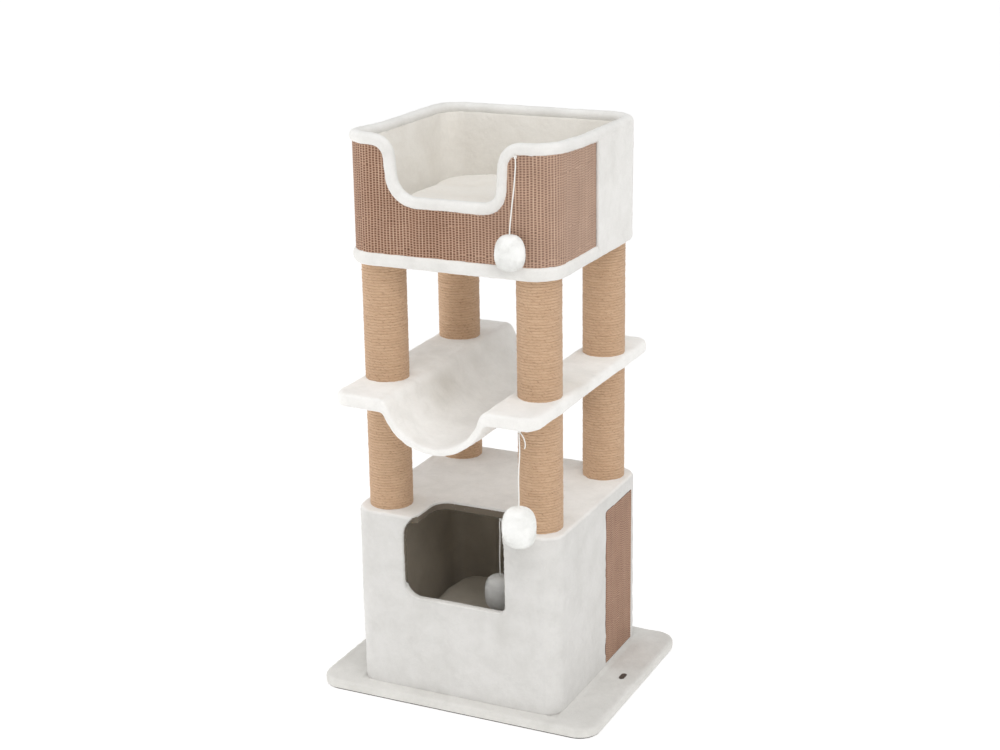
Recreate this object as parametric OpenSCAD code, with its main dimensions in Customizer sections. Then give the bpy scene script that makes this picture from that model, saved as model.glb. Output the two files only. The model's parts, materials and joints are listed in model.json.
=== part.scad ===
/* [Base] */
// Width of the base plate over its plush, left to right
base_w = 584; // [560:1:600]
// Depth of the base plate over its plush, front to back
base_d = 464; // [450:1:480]
// Corner radius of the base plate
base_r = 42; // [30:1:50]
// Thickness of the base panel
base_t = 16; // [12:1:18]
// Thickness of the felt under the base
felt_t = 2; // [1:0.5:3]

/* [Plush] */
// Thickness of the short pile fabric on flat panels
pile_t = 3; // [2:0.5:3]

/* [Cave] */
// Width of the cave over its plush
cave_w = 424; // [412:1:430]
// Depth of the cave over its plush
cave_d = 416; // [408:1:424]
// Radius of the cave's upright corners over the plush
cave_r = 41; // [38:1:45]
// Height of the cave's top above the ground
cave_top = 380; // [370:1:390]
// Thickness of the cave's walls
cave_wall = 12; // [10:1:12]
// Half width of the doorway
door_half = 106; // [95:1:110]
// Height of the door sill above the ground
door_sill = 216; // [195:1:220]
// Half width of the notch that the doorway cuts into the top
notch_half = 82; // [70:1:86]
// How far the notch's back edge lies in front of the middle
notch_back = 102; // [98:1:115]

/* [Posts] */
// Half of the spacing between posts, left to right
post_x = 157.5; // [156:0.5:158]
// Half of the spacing between posts, front to back
post_y = 152.5; // [148:0.5:154]
// Outer radius over the rope winding
post_r = 42; // [40:0.5:43]
// Thickness of the rope
rope_t = 5.5; // [4:0.5:6]
// Wall of the cardboard core tube
tube_t = 4.5; // [3:0.5:5]

/* [Platform] */
// Height of the platform's top
plat_top = 635; // [625:1:645]
// Thickness of the platform over its plush
plat_t = 26; // [24:1:28]
// Half width of the platform
plat_x = 206.5; // [205:0.5:210]
// Half depth of the platform
plat_y = 281; // [260:1:290]
// Half width of the trough between the two boards
trough_half = 112; // [111:0.5:112]
// Inner radius of the trough
trough_in = 98; // [90:1:98]
// Outer radius of the trough
trough_out = 110; // [108:1:111]
// Height of the trough's centre line above the ground
trough_z = 650; // [646:1:654]

/* [Basket] */
// Height of the basket's underside
bask_z = 863; // [850:1:875]
// Half width over the edge rolls
bask_x = 214; // [210:1:218]
// Half depth over the edge rolls
bask_y = 212; // [208:1:216]
// Height of the rim's top
rim_top = 1102; // [1090:1:1115]
// Radius of the padded rim roll
rim_r = 12; // [11:0.5:12]
// Thickness of the basket's walls
bask_wall = 10; // [8:1:10]
// Half width of the front cut-out at the middle of its roll
cut_half = 113; // [100:1:118]
// Height of the cut-out's lowest edge, at the middle of its roll
cut_low = 985.5; // [960:0.5:1010]
// Where the woven mat ends on the side walls
mat_back = -8; // [-40:1:20]

/* [Toys] */
// Radius of the knots that the toys hang from
knot_r = 4; // [3:0.5:5]
// Diameter of the toys' elastic string
string_d = 2.4; // [2:0.1:3]

/* [Hidden] */
$fn = 96;

plush_white = [0.96, 0.955, 0.945];
jute = [0.76, 0.60, 0.43];
sisal = [0.60, 0.45, 0.35];
taupe = [0.42, 0.38, 0.33];
cream = [0.95, 0.93, 0.90];
chip = [0.80, 0.68, 0.50];
card = [0.66, 0.55, 0.42];
steel = [0.72, 0.73, 0.75];
plug_grey = [0.22, 0.22, 0.23];
dark_felt = [0.18, 0.17, 0.17];

// Levels
base_top = felt_t + base_t + pile_t;            // top of the base plush
cave_board_t = 15;
lid_top = cave_top - pile_t;                    // top of the cave's lid board
lid_low = lid_top - cave_board_t;
plat_low = plat_top - plat_t;
plat_skin = 4;
floor_low = bask_z + pile_t;                    // basket floor board
floor_top = floor_low + 15;
rim_z = rim_top - rim_r;                        // middle of the rim roll
wall_top = rim_z - 3;

// Cave outlines, from the plush inwards
cw = cave_w - 2 * pile_t;
cd = cave_d - 2 * pile_t;
cr = cave_r - pile_t;
line_t = 2;

// Basket outlines, measured as half widths
wx = bask_x - 9;                                // wall's outer face
wy = bask_y - 9;
wr = 53;
mat_t = 4;
rear_t = 6;
blin_t = 3;
roll_x = bask_x - rim_r;                        // middle of the rim roll
roll_y = bask_y - rim_r;
roll_r = 50;

post_xy = [[-post_x, -post_y], [post_x, -post_y], [-post_x, post_y], [post_x, post_y]];
plug_h = 25;
bolt_r = 4;

// Screw places under the cave's walls and under the basket's walls
cave_screws = [for (s = [-1, 1]) each [[s * (cw / 2 - cave_wall / 2), -90], [s * (cw / 2 - cave_wall / 2), 90],
    [-110, s * (cd / 2 - cave_wall / 2)], [110, s * (cd / 2 - cave_wall / 2)]]];
bask_screws = [for (s = [-1, 1]) each [[s * (wx - bask_wall / 2), -90], [s * (wx - bask_wall / 2), 90],
    [-80, s * (wy - bask_wall / 2)], [80, s * (wy - bask_wall / 2)]]];

// Rounded rectangle made of true circles
module rrect(w, d, r) {
    square([w - 2 * r, d], center = true);
    square([w, d - 2 * r], center = true);
    for (x = [-1, 1], y = [-1, 1]) translate([x * (w / 2 - r), y * (d / 2 - r)]) circle(r);
}
module slab(w, d, r, z0, z1) { translate([0, 0, z0]) linear_extrude(z1 - z0) rrect(w, d, r); }
module shell(w, d, r, t, z0, z1) {
    translate([0, 0, z0]) linear_extrude(z1 - z0) difference() {
        rrect(w, d, r);
        rrect(w - 2 * t, d - 2 * t, r - t);
    }
}
module holes(places, r, z0, z1) { for (p = places) translate([p[0], p[1], z0]) cylinder(r = r, h = z1 - z0, $fn = 48); }
module from_y(y0, y1, z0 = -10, z1 = 1300) { translate([-400, y0, z0]) cube([800, y1 - y0, z1 - z0]); }

function arc(cx, cy, r, a0, a1, n) = [for (i = [0:n]) let (a = a0 + (a1 - a0) * i / n) [cx + r * cos(a), cy + r * sin(a)]];

// Doorway in the cave's front, seen from the front: round lower corners, left upper corner drawn in to the notch's width,
// right side running nearly straight up into the wider right end of the notch
notch_right = 102;
function door_side(e) = [[door_half + e, 334], [door_half - 1 + e, 346], [door_half - 4 + e, 357], [door_half - 9.5 + e, 366], [door_half - 17 + e, 374.5],
    [notch_half + e, 381], [notch_half + e, 420]];
function door_outline(e) = concat(
    arc(-door_half + 30 - e, door_sill + 30 - e, 30, 180, 270, 10),
    arc(door_half - 14 + e, door_sill + 14 - e, 14, 270, 360, 10),
    [[door_half + e, 334], [door_half - 0.5 + e, 352], [door_half - 2 + e, 368], [notch_right + e, 381], [notch_right + e, 420]],
    [for (i = [6:-1:0]) [-door_side(e)[i][0], door_side(e)[i][1]]]);
module doorway(e) { translate([0, -cave_d / 2 + 18, 0]) rotate([90, 0, 0]) linear_extrude(60) polygon(door_outline(e)); }
// Notch in the cave's lid, seen from above
function notch_outline(e) = concat(
    arc(notch_right - 30 + e, -notch_back - 30 + e, 30, 0, 90, 8),
    arc(-notch_half + 30 - e, -notch_back - 30 + e, 30, 90, 180, 8),
    [[-notch_half - e, -260], [notch_right + e, -260]]);
module notch(e) { translate([0, 0, 340]) linear_extrude(80) polygon(notch_outline(e)); }

// Edge of the basket's front cut-out; off is how far it lies outside the middle of the rim roll
hump = 34;
function cut_outline(off) = concat(
    [[-230, rim_z + 60], [-230, rim_z - off], [-cut_half - hump, rim_z - off]],
    arc(-cut_half - hump, rim_z - hump, hump - off, 90, 0, 6),
    arc(-cut_half + 38, cut_low + 36, 36 + off, 180, 270, 7),
    arc(cut_half - 38, cut_low + 36, 36 + off, 270, 360, 7),
    arc(cut_half + hump, rim_z - hump, hump - off, 180, 90, 6),
    [[cut_half + hump, rim_z - off], [230, rim_z - off], [230, rim_z + 60]]);
module cut_out(off) { translate([0, -140, 0]) rotate([90, 0, 0]) linear_extrude(100) polygon(cut_outline(off)); }

// ---- base ----
module base_board() {
    color(chip) difference() {
        slab(base_w - 2 * pile_t, base_d - 2 * pile_t, base_r - pile_t, felt_t, felt_t + base_t);
        holes(cave_screws, 2, felt_t - 1, felt_t + base_t + 1);
        for (p = cave_screws) translate([p[0], p[1], felt_t]) cylinder(r1 = 4, r2 = 2, h = 3, $fn = 48);
    }
}
module base_plush() {
    color(plush_white) difference() {
        slab(base_w, base_d, base_r, felt_t, base_top);
        slab(base_w - 2 * pile_t, base_d - 2 * pile_t, base_r - pile_t, felt_t - 1, felt_t + base_t);
        holes(cave_screws, 2, felt_t, base_top + 1);
    }
}
module base_underlay() { color(dark_felt) slab(base_w - 16, base_d - 16, base_r - 8, 0, felt_t); }
module edge_tag() {
    color(plug_grey) translate([260, 5, base_top]) linear_extrude(1.2) {
        square([11, 13], center = true);
        translate([0, 6.5]) circle(5.5, $fn = 48);
        translate([0, -6.5]) circle(5.5, $fn = 48);
    }
}

// ---- cave ----
module cave_ring() {
    difference() {
        shell(cw, cd, cr, cave_wall, base_top, lid_low);
        holes(cave_screws, 2, base_top - 1, felt_t + 40);
    }
}
cut_y = cd / 2 - cr;
module cave_wall_front() {
    color(chip) difference() {
        intersection() { cave_ring(); from_y(-300, -cut_y); }
        doorway(5);
    }
}
module cave_wall_back() { color(chip) intersection() { cave_ring(); from_y(cut_y, 300); } }
module cave_wall_side(s) {
    color(chip) intersection() {
        cave_ring();
        translate([s > 0 ? 0 : -300, -cut_y, 0]) cube([300, 2 * cut_y, 500]);
    }
}
module cave_wall_left() { cave_wall_side(-1); }
module cave_wall_right() { cave_wall_side(1); }
module cave_top_board() {
    color(chip) difference() {
        slab(cw, cd, cr, lid_low, lid_top);
        notch(6);
        doorway(5);
        holes(post_xy, 4.5, lid_low - 1, lid_top + 1);
        holes(post_xy, 13, lid_low - 1, lid_low + 4);
    }
}
module cave_plush_cover() {
    color(plush_white) difference() {
        slab(cave_w, cave_d, cave_r, base_top, cave_top);
        slab(cw, cd, cr, base_top - 1, lid_top);
        doorway(0);
        notch(0);
        holes(post_xy, 4.5, lid_top - 1, cave_top + 1);
        translate([200, panel_y0, panel_z0]) cube([30, panel_y1 - panel_y0, panel_z1 - panel_z0]);
    }
}
module cave_lining() {
    color(taupe) difference() {
        slab(cw - 2 * cave_wall, cd - 2 * cave_wall, cr - cave_wall, base_top, lid_low);
        slab(cw - 2 * cave_wall - 2 * line_t, cd - 2 * cave_wall - 2 * line_t, cr - cave_wall - line_t, base_top - 1, lid_low - line_t);
        doorway(0);
        notch(0);
        holes(post_xy, 13, lid_low - line_t - 1, lid_low + 1);
    }
}
panel_y0 = 31;
panel_y1 = 167;
panel_z0 = 27;
panel_z1 = 351;
module cave_sisal_panel() {
    color(sisal) translate([cw / 2, panel_y0, panel_z0]) cube([mat_t, panel_y1 - panel_y0, panel_z1 - panel_z0]);
}
// Stuffed cushion: widest at the middle of its height
module pillow(w, d, z0, z1, r, drop) {
    hull() {
        translate([0, 0, z0]) linear_extrude(1) rrect(w - 40, d - 40, r, $fn = 32);
        translate([0, 0, z0 + (z1 - z0) * 0.35]) linear_extrude((z1 - z0) * 0.25) rrect(w, d, r, $fn = 32);
        translate([0, 0, z1 - drop]) linear_extrude(1) rrect(w - 34, d - 34, r, $fn = 32);
        translate([0, 0, z1 - 1]) linear_extrude(1) rrect(w - 120, d - 120, r, $fn = 32);
    }
}
module cave_cushion() { color(taupe) pillow(378, 370, base_top, 118, 50, 12); }

// ---- posts ----
lower_z = [cave_top, plat_low];
upper_z = [plat_top, bask_z];
module rope(i, zz) {
    color(jute) translate([post_xy[i][0], post_xy[i][1], zz[0]]) difference() {
        cylinder(r = post_r, h = zz[1] - zz[0]);
        translate([0, 0, -1]) cylinder(r = post_r - rope_t, h = zz[1] - zz[0] + 2);
    }
}
module tube(i, zz) {
    color(card) translate([post_xy[i][0], post_xy[i][1], zz[0]]) difference() {
        cylinder(r = post_r - rope_t, h = zz[1] - zz[0]);
        translate([0, 0, -1]) cylinder(r = post_r - rope_t - tube_t, h = zz[1] - zz[0] + 2);
    }
}
module post_end_plugs() {
    color(plug_grey) for (p = post_xy, z = [lower_z[0], lower_z[1] - plug_h, upper_z[0], upper_z[1] - plug_h])
        translate([p[0], p[1], z]) difference() {
            cylinder(r = post_r - rope_t - tube_t, h = plug_h);
            translate([0, 0, -1]) cylinder(r = bolt_r, h = plug_h + 2, $fn = 48);
        }
}
module post_studs() {
    color(steel) for (p = post_xy) translate([p[0], p[1], plat_low - 20]) cylinder(r = bolt_r, h = plat_t + 40, $fn = 48);
}
module post_bolts() {
    color(steel) for (p = post_xy) {
        translate([p[0], p[1], lid_low]) difference() {
            union() { cylinder(r = 8.5, h = 2.5, $fn = 48); cylinder(r = bolt_r, h = 42, $fn = 48); }
            translate([0, 0, -1]) cylinder(r = 3, h = 3, $fn = 6);
        }
        translate([p[0], p[1], floor_top]) mirror([0, 0, 1]) difference() {
            union() { cylinder(r = 8.5, h = 2.5, $fn = 48); cylinder(r = bolt_r, h = 42, $fn = 48); }
            translate([0, 0, -1]) cylinder(r = 3, h = 3, $fn = 6);
        }
    }
}
module bolt_washers() {
    color(steel) for (p = post_xy, z = [lid_low + 2.5, floor_top - 4])
        translate([p[0], p[1], z]) difference() {
            cylinder(r = 11, h = 1.5, $fn = 48);
            translate([0, 0, -1]) cylinder(r = 4.2, h = 4, $fn = 48);
        }
}
module panel_screw() { cylinder(r1 = 4, r2 = 2, h = 3, $fn = 48); cylinder(r = 2, h = 40, $fn = 48); }
module panel_screws() {
    color(steel) {
        for (p = cave_screws) translate([p[0], p[1], felt_t]) panel_screw();
        for (p = bask_screws) translate([p[0], p[1], floor_low]) panel_screw();
    }
}

// ---- platform ----
module plat_side(s, e) {
    intersection() {
        rrect(2 * (plat_x - e), 2 * (plat_y - e), 32 - e);
        translate([s > 0 ? trough_half + e : -300, -300]) square([300 - trough_half - e, 600]);
    }
}
module platform_board(s) {
    color(chip) difference() {
        translate([0, 0, plat_low + plat_skin]) linear_extrude(plat_t - 2 * plat_skin) plat_side(s, 3.5);
        holes(post_xy, 4.5, plat_low, plat_top);
    }
}
module platform_plush(s) {
    color(plush_white) difference() {
        translate([0, 0, plat_low]) linear_extrude(plat_t) plat_side(s, 0);
        translate([0, 0, plat_low + plat_skin]) linear_extrude(plat_t - 2 * plat_skin) plat_side(s, 3.5);
        holes(post_xy, 4.5, plat_low - 1, plat_top + 1);
    }
}
module platform_board_left() { platform_board(-1); }
module platform_board_right() { platform_board(1); }
module platform_plush_left() { platform_plush(-1); }
module platform_plush_right() { platform_plush(1); }
// The trough's upper line: a round bottom that turns out over a shoulder on to each board
sling_top = plat_top - 1;
shoulder_r = 21;
shoulder_x = sqrt(pow(trough_in + shoulder_r, 2) - pow(trough_z - sling_top + shoulder_r, 2));
shoulder_a = atan2(trough_z - sling_top + shoulder_r, shoulder_x);
under_a = asin((trough_z - plat_low - 2) / trough_out);
sling_line = concat(
    arc(-shoulder_x, sling_top - shoulder_r, shoulder_r, 90, shoulder_a, 8),
    arc(0, trough_z, trough_in, 180 + shoulder_a, 360 - shoulder_a, 44),
    arc(shoulder_x, sling_top - shoulder_r, shoulder_r, 180 - shoulder_a, 90, 8),
    [[trough_half + 20, sling_top], [trough_half + 20, plat_low + 2]],
    arc(0, trough_z, trough_out, -under_a, under_a - 180, 44),
    [[-trough_half - 20, plat_low + 2], [-trough_half - 20, sling_top]]);
module hammock_sling() {
    color(plush_white) translate([0, plat_y - 1, 0]) rotate([90, 0, 0]) linear_extrude(2 * plat_y - 2) intersection() {
        polygon(sling_line);
        translate([-trough_half, 500]) square([2 * trough_half, 200]);
    }
}

// ---- basket ----
module basket_floor_board() {
    color(chip) difference() {
        slab(2 * wx, 2 * wy, wr, floor_low, floor_top);
        holes(post_xy, 4.5, floor_low - 1, floor_top + 1);
        holes(post_xy, 13, floor_top - 4, floor_top + 1);
        holes(bask_screws, 2, floor_low - 1, floor_top + 1);
        for (p = bask_screws) translate([p[0], p[1], floor_low]) cylinder(r1 = 4, r2 = 2, h = 3, $fn = 48);
    }
}
bcut = wy - wr;
module bask_ring() {
    difference() {
        shell(2 * wx, 2 * wy, wr, bask_wall, floor_top, wall_top);
        holes(bask_screws, 2, floor_top - 1, floor_low + 40);
    }
}
module basket_wall_front() {
    color(chip) difference() {
        intersection() { bask_ring(); from_y(-300, -bcut); }
        cut_out(3);
    }
}
module basket_wall_back() { color(chip) intersection() { bask_ring(); from_y(bcut, 300); } }
module basket_wall_side(s) {
    color(chip) intersection() {
        bask_ring();
        translate([s > 0 ? 0 : -300, -bcut, 800]) cube([300, 2 * bcut, 400]);
    }
}
module basket_wall_left() { basket_wall_side(-1); }
module basket_wall_right() { basket_wall_side(1); }
module basket_outer_plush() {
    color(plush_white) difference() {
        union() {
            intersection() {
                shell(2 * (wx + rear_t), 2 * (wy + rear_t), wr + rear_t, rear_t, bask_z, rim_z - rim_r);
                from_y(mat_back, 300);
            }
            slab(2 * wx, 2 * wy, wr, bask_z, floor_low);
        }
        holes(post_xy, 4.5, bask_z - 1, floor_low + 1);
    }
}
module basket_lining() {
    lx = wx - bask_wall;
    ly = wy - bask_wall;
    lr = wr - bask_wall;
    color(plush_white) difference() {
        slab(2 * lx, 2 * ly, lr, floor_top, rim_z - rim_r);
        slab(2 * (lx - blin_t), 2 * (ly - blin_t), lr - blin_t, floor_top + blin_t, rim_top);
        cut_out(rim_r);
        holes(post_xy, 13, floor_top - 1, floor_top + blin_t + 1);
    }
}
module basket_sisal_mat() {
    color(sisal) difference() {
        intersection() {
            shell(2 * (wx + mat_t), 2 * (wy + mat_t), wr + mat_t, mat_t, floor_low, rim_z - rim_r);
            from_y(-300, mat_back);
        }
        cut_out(rim_r);
    }
}
module basket_floor_piping() {
    color(plush_white) intersection() {
        difference() {
            translate([0, 0, bask_z]) linear_extrude(25) rrect(2 * bask_x, 2 * bask_y, 62);
            translate([0, 0, bask_z - 1]) linear_extrude(4) rrect(2 * wx, 2 * wy, wr);
            translate([0, 0, floor_low]) linear_extrude(40) rrect(2 * (wx + mat_t), 2 * (wy + mat_t), wr + mat_t);
        }
        from_y(-300, mat_back);
    }
}

// Middle line of the rim roll: round the rectangle, dipping round the front cut-out
function rim_corner(sx, sy, a0) = [for (i = [0:12]) let (a = a0 + 7.5 * i)
    [sx * (roll_x - roll_r) + roll_r * cos(a), sy * (roll_y - roll_r) + roll_r * sin(a), rim_z]];
function on_front(q) = [for (p = q) [p[0], -roll_y, p[1]]];
rim_path = concat(
    on_front(arc(-cut_half - hump, rim_z - hump, hump, 90, 0, 6)),
    on_front(arc(-cut_half + 38, cut_low + 36, 36, 180, 270, 7)),
    on_front(arc(cut_half - 38, cut_low + 36, 36, 270, 360, 7)),
    on_front(arc(cut_half + hump, rim_z - hump, hump, 180, 90, 6)),
    rim_corner(1, -1, 270), rim_corner(1, 1, 0), rim_corner(-1, 1, 90), rim_corner(-1, -1, 180));
// Section of the roll: a round with a slot for the wall; first number outwards, second upwards
slot_in = roll_x - (wx - bask_wall) + 0.2;
slot_out = wx - roll_x + 0.2;
rim_section = concat(
    [[-slot_in, -2.5]],
    arc(0, 0, rim_r, 270 - asin(slot_in / rim_r), -90 + asin(slot_out / rim_r), 13),
    [[slot_out, -2.5]]);
function unit(v) = v / norm(v);
function out_of_wall(p) = let (x = max(abs(p[0]) - (roll_x - roll_r), 0) * sign(p[0]), y = max(abs(p[1]) - (roll_y - roll_r), 0) * sign(p[1]))
    norm([x, y]) < 1 ? [0, -1, 0] : unit([x, y, 0]);
function ring_at(path, section, i, closed) = let (
    n = len(path),
    a = path[closed ? (i + n - 1) % n : max(i - 1, 0)],
    b = path[closed ? (i + 1) % n : min(i + 1, n - 1)],
    t = unit(b - a), u = out_of_wall(path[i]), w = unit(cross(u, t)) * (cross(u, t)[2] < -0.01 ? -1 : 1))
    [for (s = section) path[i] + s[0] * u + s[1] * w];
module closed_sweep(path, section) {
    n = len(path);
    m = len(section);
    polyhedron(
        points = [for (i = [0:n - 1]) each ring_at(path, section, i, true)],
        faces = [for (i = [0:n - 1], j = [0:m - 1]) let (a = i * m + j, b = i * m + (j + 1) % m, c = ((i + 1) % n) * m + (j + 1) % m, d = ((i + 1) % n) * m + j) each [[a, b, c], [a, c, d]]],
        convexity = 8);
}
module basket_rim_piping() { color(plush_white) closed_sweep(rim_path, rim_section); }
module basket_cushion() { color(cream) pillow(366, 362, floor_top + blin_t + 0.6, 970, 44, 26); }

// ---- hanging toys ----
// Each toy: centre of its knot, centre of its pompom, pompom radius, half height
basket_toy = [[141, -211.8, 1074], [138, -234.5, 920], 26, 32];
platform_toy = [[167, -264, 604.5], [167, -264, 422], 30, 38];
cave_toy = [[46, -94, 355.5], [46, -94, 204], 29, 36];
// Routes of the strings, from the knot's edge to the top of the pompom
basket_route = [[141, -213, 1069.6], [141.5, -216, 1058], [142, -220, 1040], [141, -224, 1020], [139.5, -228, 1000], [138.5, -231.5, 980], [138, -234.5, 964], [138, -234.5, 952]];
platform_route = [[167, -264, 600], [168.5, -264, 590], [170, -264, 575], [169, -264.5, 555], [167, -265, 535], [166, -264.5, 510], [166.5, -264, 485], [167, -264, 472], [167, -264, 460]];
cave_route = [[46, -94, 351], [47, -94, 340], [47.5, -94, 325], [46.5, -94, 305], [45.5, -94, 285], [45.5, -94, 265], [46, -94, 250], [46, -94, 240]];

module tube_along(route, d) {
    n = len(route);
    k = 8;
    pts = [for (i = [0:n - 1]) let (
        t = unit(route[min(i + 1, n - 1)] - route[max(i - 1, 0)]),
        u = unit(cross(t, [0, 1, 0])), w = cross(t, u))
        each [for (j = [0:k - 1]) route[i] + d / 2 * (cos(45 * j) * u + sin(45 * j) * w)]];
    faces = concat(
        [[for (j = [0:k - 1]) j]],
        [for (i = [0:n - 2], j = [0:k - 1]) let (a = i * k + j, b = i * k + (j + 1) % k) each [[a, a + k, b + k], [a, b + k, b]]],
        [[for (j = [k - 1:-1:0]) (n - 1) * k + j]]);
    polyhedron(points = pts, faces = faces, convexity = 4);
}
// Full-sided egg shape turned about its upright axis, with a small flat where the string goes in
module pompom(toy) {
    r = toy[2];
    h = toy[3];
    color(plush_white) translate(toy[1]) rotate_extrude($fn = 64)
        polygon(concat([[0, -h]], [for (i = [1:17]) let (a = -90 + 10 * i) [r * pow(cos(a), 0.8), h * sign(sin(a)) * pow(abs(sin(a)), 0.9)]], [[2, h], [0, h]]));
}
module knot(toy) { color(plush_white) translate(toy[0]) sphere(knot_r, $fn = 48); }
module basket_toy_knot() { knot(basket_toy); }
module basket_toy_string() { color(plush_white) tube_along(basket_route, string_d); }
module basket_toy_pompom() { pompom(basket_toy); }
module platform_toy_knot() { knot(platform_toy); }
module platform_toy_string() { color(plush_white) tube_along(platform_route, string_d); }
module platform_toy_pompom() { pompom(platform_toy); }
module cave_toy_knot() { knot(cave_toy); }
module cave_toy_string() { color(plush_white) tube_along(cave_route, string_d); }
module cave_toy_pompom() { pompom(cave_toy); }

base_board();
base_plush();
base_underlay();
edge_tag();
cave_wall_front();
cave_wall_back();
cave_wall_left();
cave_wall_right();
cave_top_board();
cave_plush_cover();
cave_lining();
cave_sisal_panel();
cave_cushion();
rope(0, lower_z);  // lower_rope_front_left
rope(1, lower_z);  // lower_rope_front_right
rope(2, lower_z);  // lower_rope_back_left
rope(3, lower_z);  // lower_rope_back_right
rope(0, upper_z);  // upper_rope_front_left
rope(1, upper_z);  // upper_rope_front_right
rope(2, upper_z);  // upper_rope_back_left
rope(3, upper_z);  // upper_rope_back_right
tube(0, lower_z);  // lower_tube_front_left
tube(1, lower_z);  // lower_tube_front_right
tube(2, lower_z);  // lower_tube_back_left
tube(3, lower_z);  // lower_tube_back_right
tube(0, upper_z);  // upper_tube_front_left
tube(1, upper_z);  // upper_tube_front_right
tube(2, upper_z);  // upper_tube_back_left
tube(3, upper_z);  // upper_tube_back_right
post_end_plugs();
post_studs();
post_bolts();
bolt_washers();
panel_screws();
platform_board_left();
platform_board_right();
platform_plush_left();
platform_plush_right();
hammock_sling();
basket_floor_board();
basket_wall_front();
basket_wall_back();
basket_wall_left();
basket_wall_right();
basket_outer_plush();
basket_lining();
basket_sisal_mat();
basket_rim_piping();
basket_floor_piping();
basket_cushion();
basket_toy_knot();
basket_toy_string();
basket_toy_pompom();
platform_toy_knot();
platform_toy_string();
platform_toy_pompom();
cave_toy_knot();
cave_toy_string();
cave_toy_pompom();
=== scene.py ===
import bpy
import json
import math
import numpy as np
from mathutils import Matrix, Vector
from mathutils.geometry import tessellate_polygon


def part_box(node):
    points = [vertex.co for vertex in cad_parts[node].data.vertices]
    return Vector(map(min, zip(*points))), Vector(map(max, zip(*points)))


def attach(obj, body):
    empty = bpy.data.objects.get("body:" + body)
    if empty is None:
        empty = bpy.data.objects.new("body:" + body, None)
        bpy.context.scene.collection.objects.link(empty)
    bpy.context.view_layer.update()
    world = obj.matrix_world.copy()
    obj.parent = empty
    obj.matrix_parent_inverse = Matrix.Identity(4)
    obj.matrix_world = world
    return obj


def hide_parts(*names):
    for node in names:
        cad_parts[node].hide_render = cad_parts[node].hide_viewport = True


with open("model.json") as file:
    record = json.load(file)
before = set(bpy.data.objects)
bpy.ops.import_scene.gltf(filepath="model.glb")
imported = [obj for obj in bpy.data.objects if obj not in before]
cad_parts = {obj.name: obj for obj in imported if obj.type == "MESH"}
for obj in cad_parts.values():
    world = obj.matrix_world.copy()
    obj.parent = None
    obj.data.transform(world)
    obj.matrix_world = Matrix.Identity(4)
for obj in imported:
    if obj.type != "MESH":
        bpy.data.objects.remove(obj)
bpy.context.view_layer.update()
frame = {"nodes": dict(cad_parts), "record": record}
NODES = frame["nodes"]
scene = bpy.context.scene
MM = 0.001

# ------------------------------------------------------------------ camera
def make_camera():
    az, el, roll = (math.radians(v) for v in (25.5637, 17.3986, -0.8622))
    b = np.array([math.sin(az) * math.cos(el), -math.cos(az) * math.cos(el), math.sin(el)])
    right = np.array([math.cos(az), math.sin(az), 0.0])
    up = np.cross(b, right)
    c, s = math.cos(roll), math.sin(roll)
    r, u = c * right + s * up, -s * right + c * up
    data = bpy.data.cameras.new("camera")
    data.sensor_width = 36
    data.lens = 1858.92 * 36 / 1000
    data.clip_start, data.clip_end = 0.05, 60
    cam = bpy.data.objects.new("camera", data)
    scene.collection.objects.link(cam)
    m = Matrix.Identity(4)
    for i in range(3):
        m[i][0], m[i][1], m[i][2] = r[i], u[i], b[i]
    m[0][3], m[1][3], m[2][3] = 1.47880, -3.08222, 1.68382
    cam.matrix_world = m
    scene.camera = cam


make_camera()

# ------------------------------------------------------------------ noise in numpy
def _hash(i, j, k, seed):
    h = (i.astype(np.int64) * 374761393 + j.astype(np.int64) * 668265263 + k.astype(np.int64) * 2147483647 + seed * 1274126177) & 0xFFFFFFFF
    h = ((h ^ (h >> 13)) * 1274126177) & 0xFFFFFFFF
    h = ((h ^ (h >> 16)) * 2246822519) & 0xFFFFFFFF
    return ((h ^ (h >> 15)) & 0xFFFFFF) / float(0xFFFFFF) * 2 - 1


def vnoise(p, size, seed=0):
    """Smooth noise from -1 to 1 at points p, with features about size metres across."""
    q = np.asarray(p, float) / np.asarray(size, float)
    f = np.floor(q).astype(np.int64)
    t = q - f
    t = t * t * t * (t * (t * 6 - 15) + 10)
    out = np.zeros(len(q))
    for dx in (0, 1):
        for dy in (0, 1):
            for dz in (0, 1):
                w = (t[:, 0] if dx else 1 - t[:, 0]) * (t[:, 1] if dy else 1 - t[:, 1]) * (t[:, 2] if dz else 1 - t[:, 2])
                out += w * _hash(f[:, 0] + dx, f[:, 1] + dy, f[:, 2] + dz, seed)
    return out


# ------------------------------------------------------------------ mesh helpers
def new_object(name, verts, faces, smooth=True):
    me = bpy.data.meshes.new(name)
    verts = np.asarray(verts, float)
    me.from_pydata(verts.tolist(), [], faces if isinstance(faces, list) else faces.tolist())
    me.update()
    if smooth:
        me.polygons.foreach_set("use_smooth", np.ones(len(me.polygons), bool))
    o = bpy.data.objects.new(name, me)
    scene.collection.objects.link(o)
    return o


def coords(o):
    a = np.zeros(len(o.data.vertices) * 3)
    o.data.vertices.foreach_get("co", a)
    return a.reshape(-1, 3)


def set_coords(o, a):
    o.data.vertices.foreach_set("co", np.asarray(a, np.float32).ravel())
    o.data.update()


def normals(o):
    a = np.zeros(len(o.data.vertices) * 3)
    o.data.vertex_normals.foreach_get("vector", a)
    return a.reshape(-1, 3)


def baked(o):
    """Applies every modifier and keeps the object."""
    dg = bpy.context.evaluated_depsgraph_get()
    dg.update()
    me = bpy.data.meshes.new_from_object(o.evaluated_get(dg))
    old = o.data
    o.modifiers.clear()
    o.data = me
    me.name = o.name
    bpy.data.meshes.remove(old)
    me.polygons.foreach_set("use_smooth", np.ones(len(me.polygons), bool))
    return o


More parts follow.
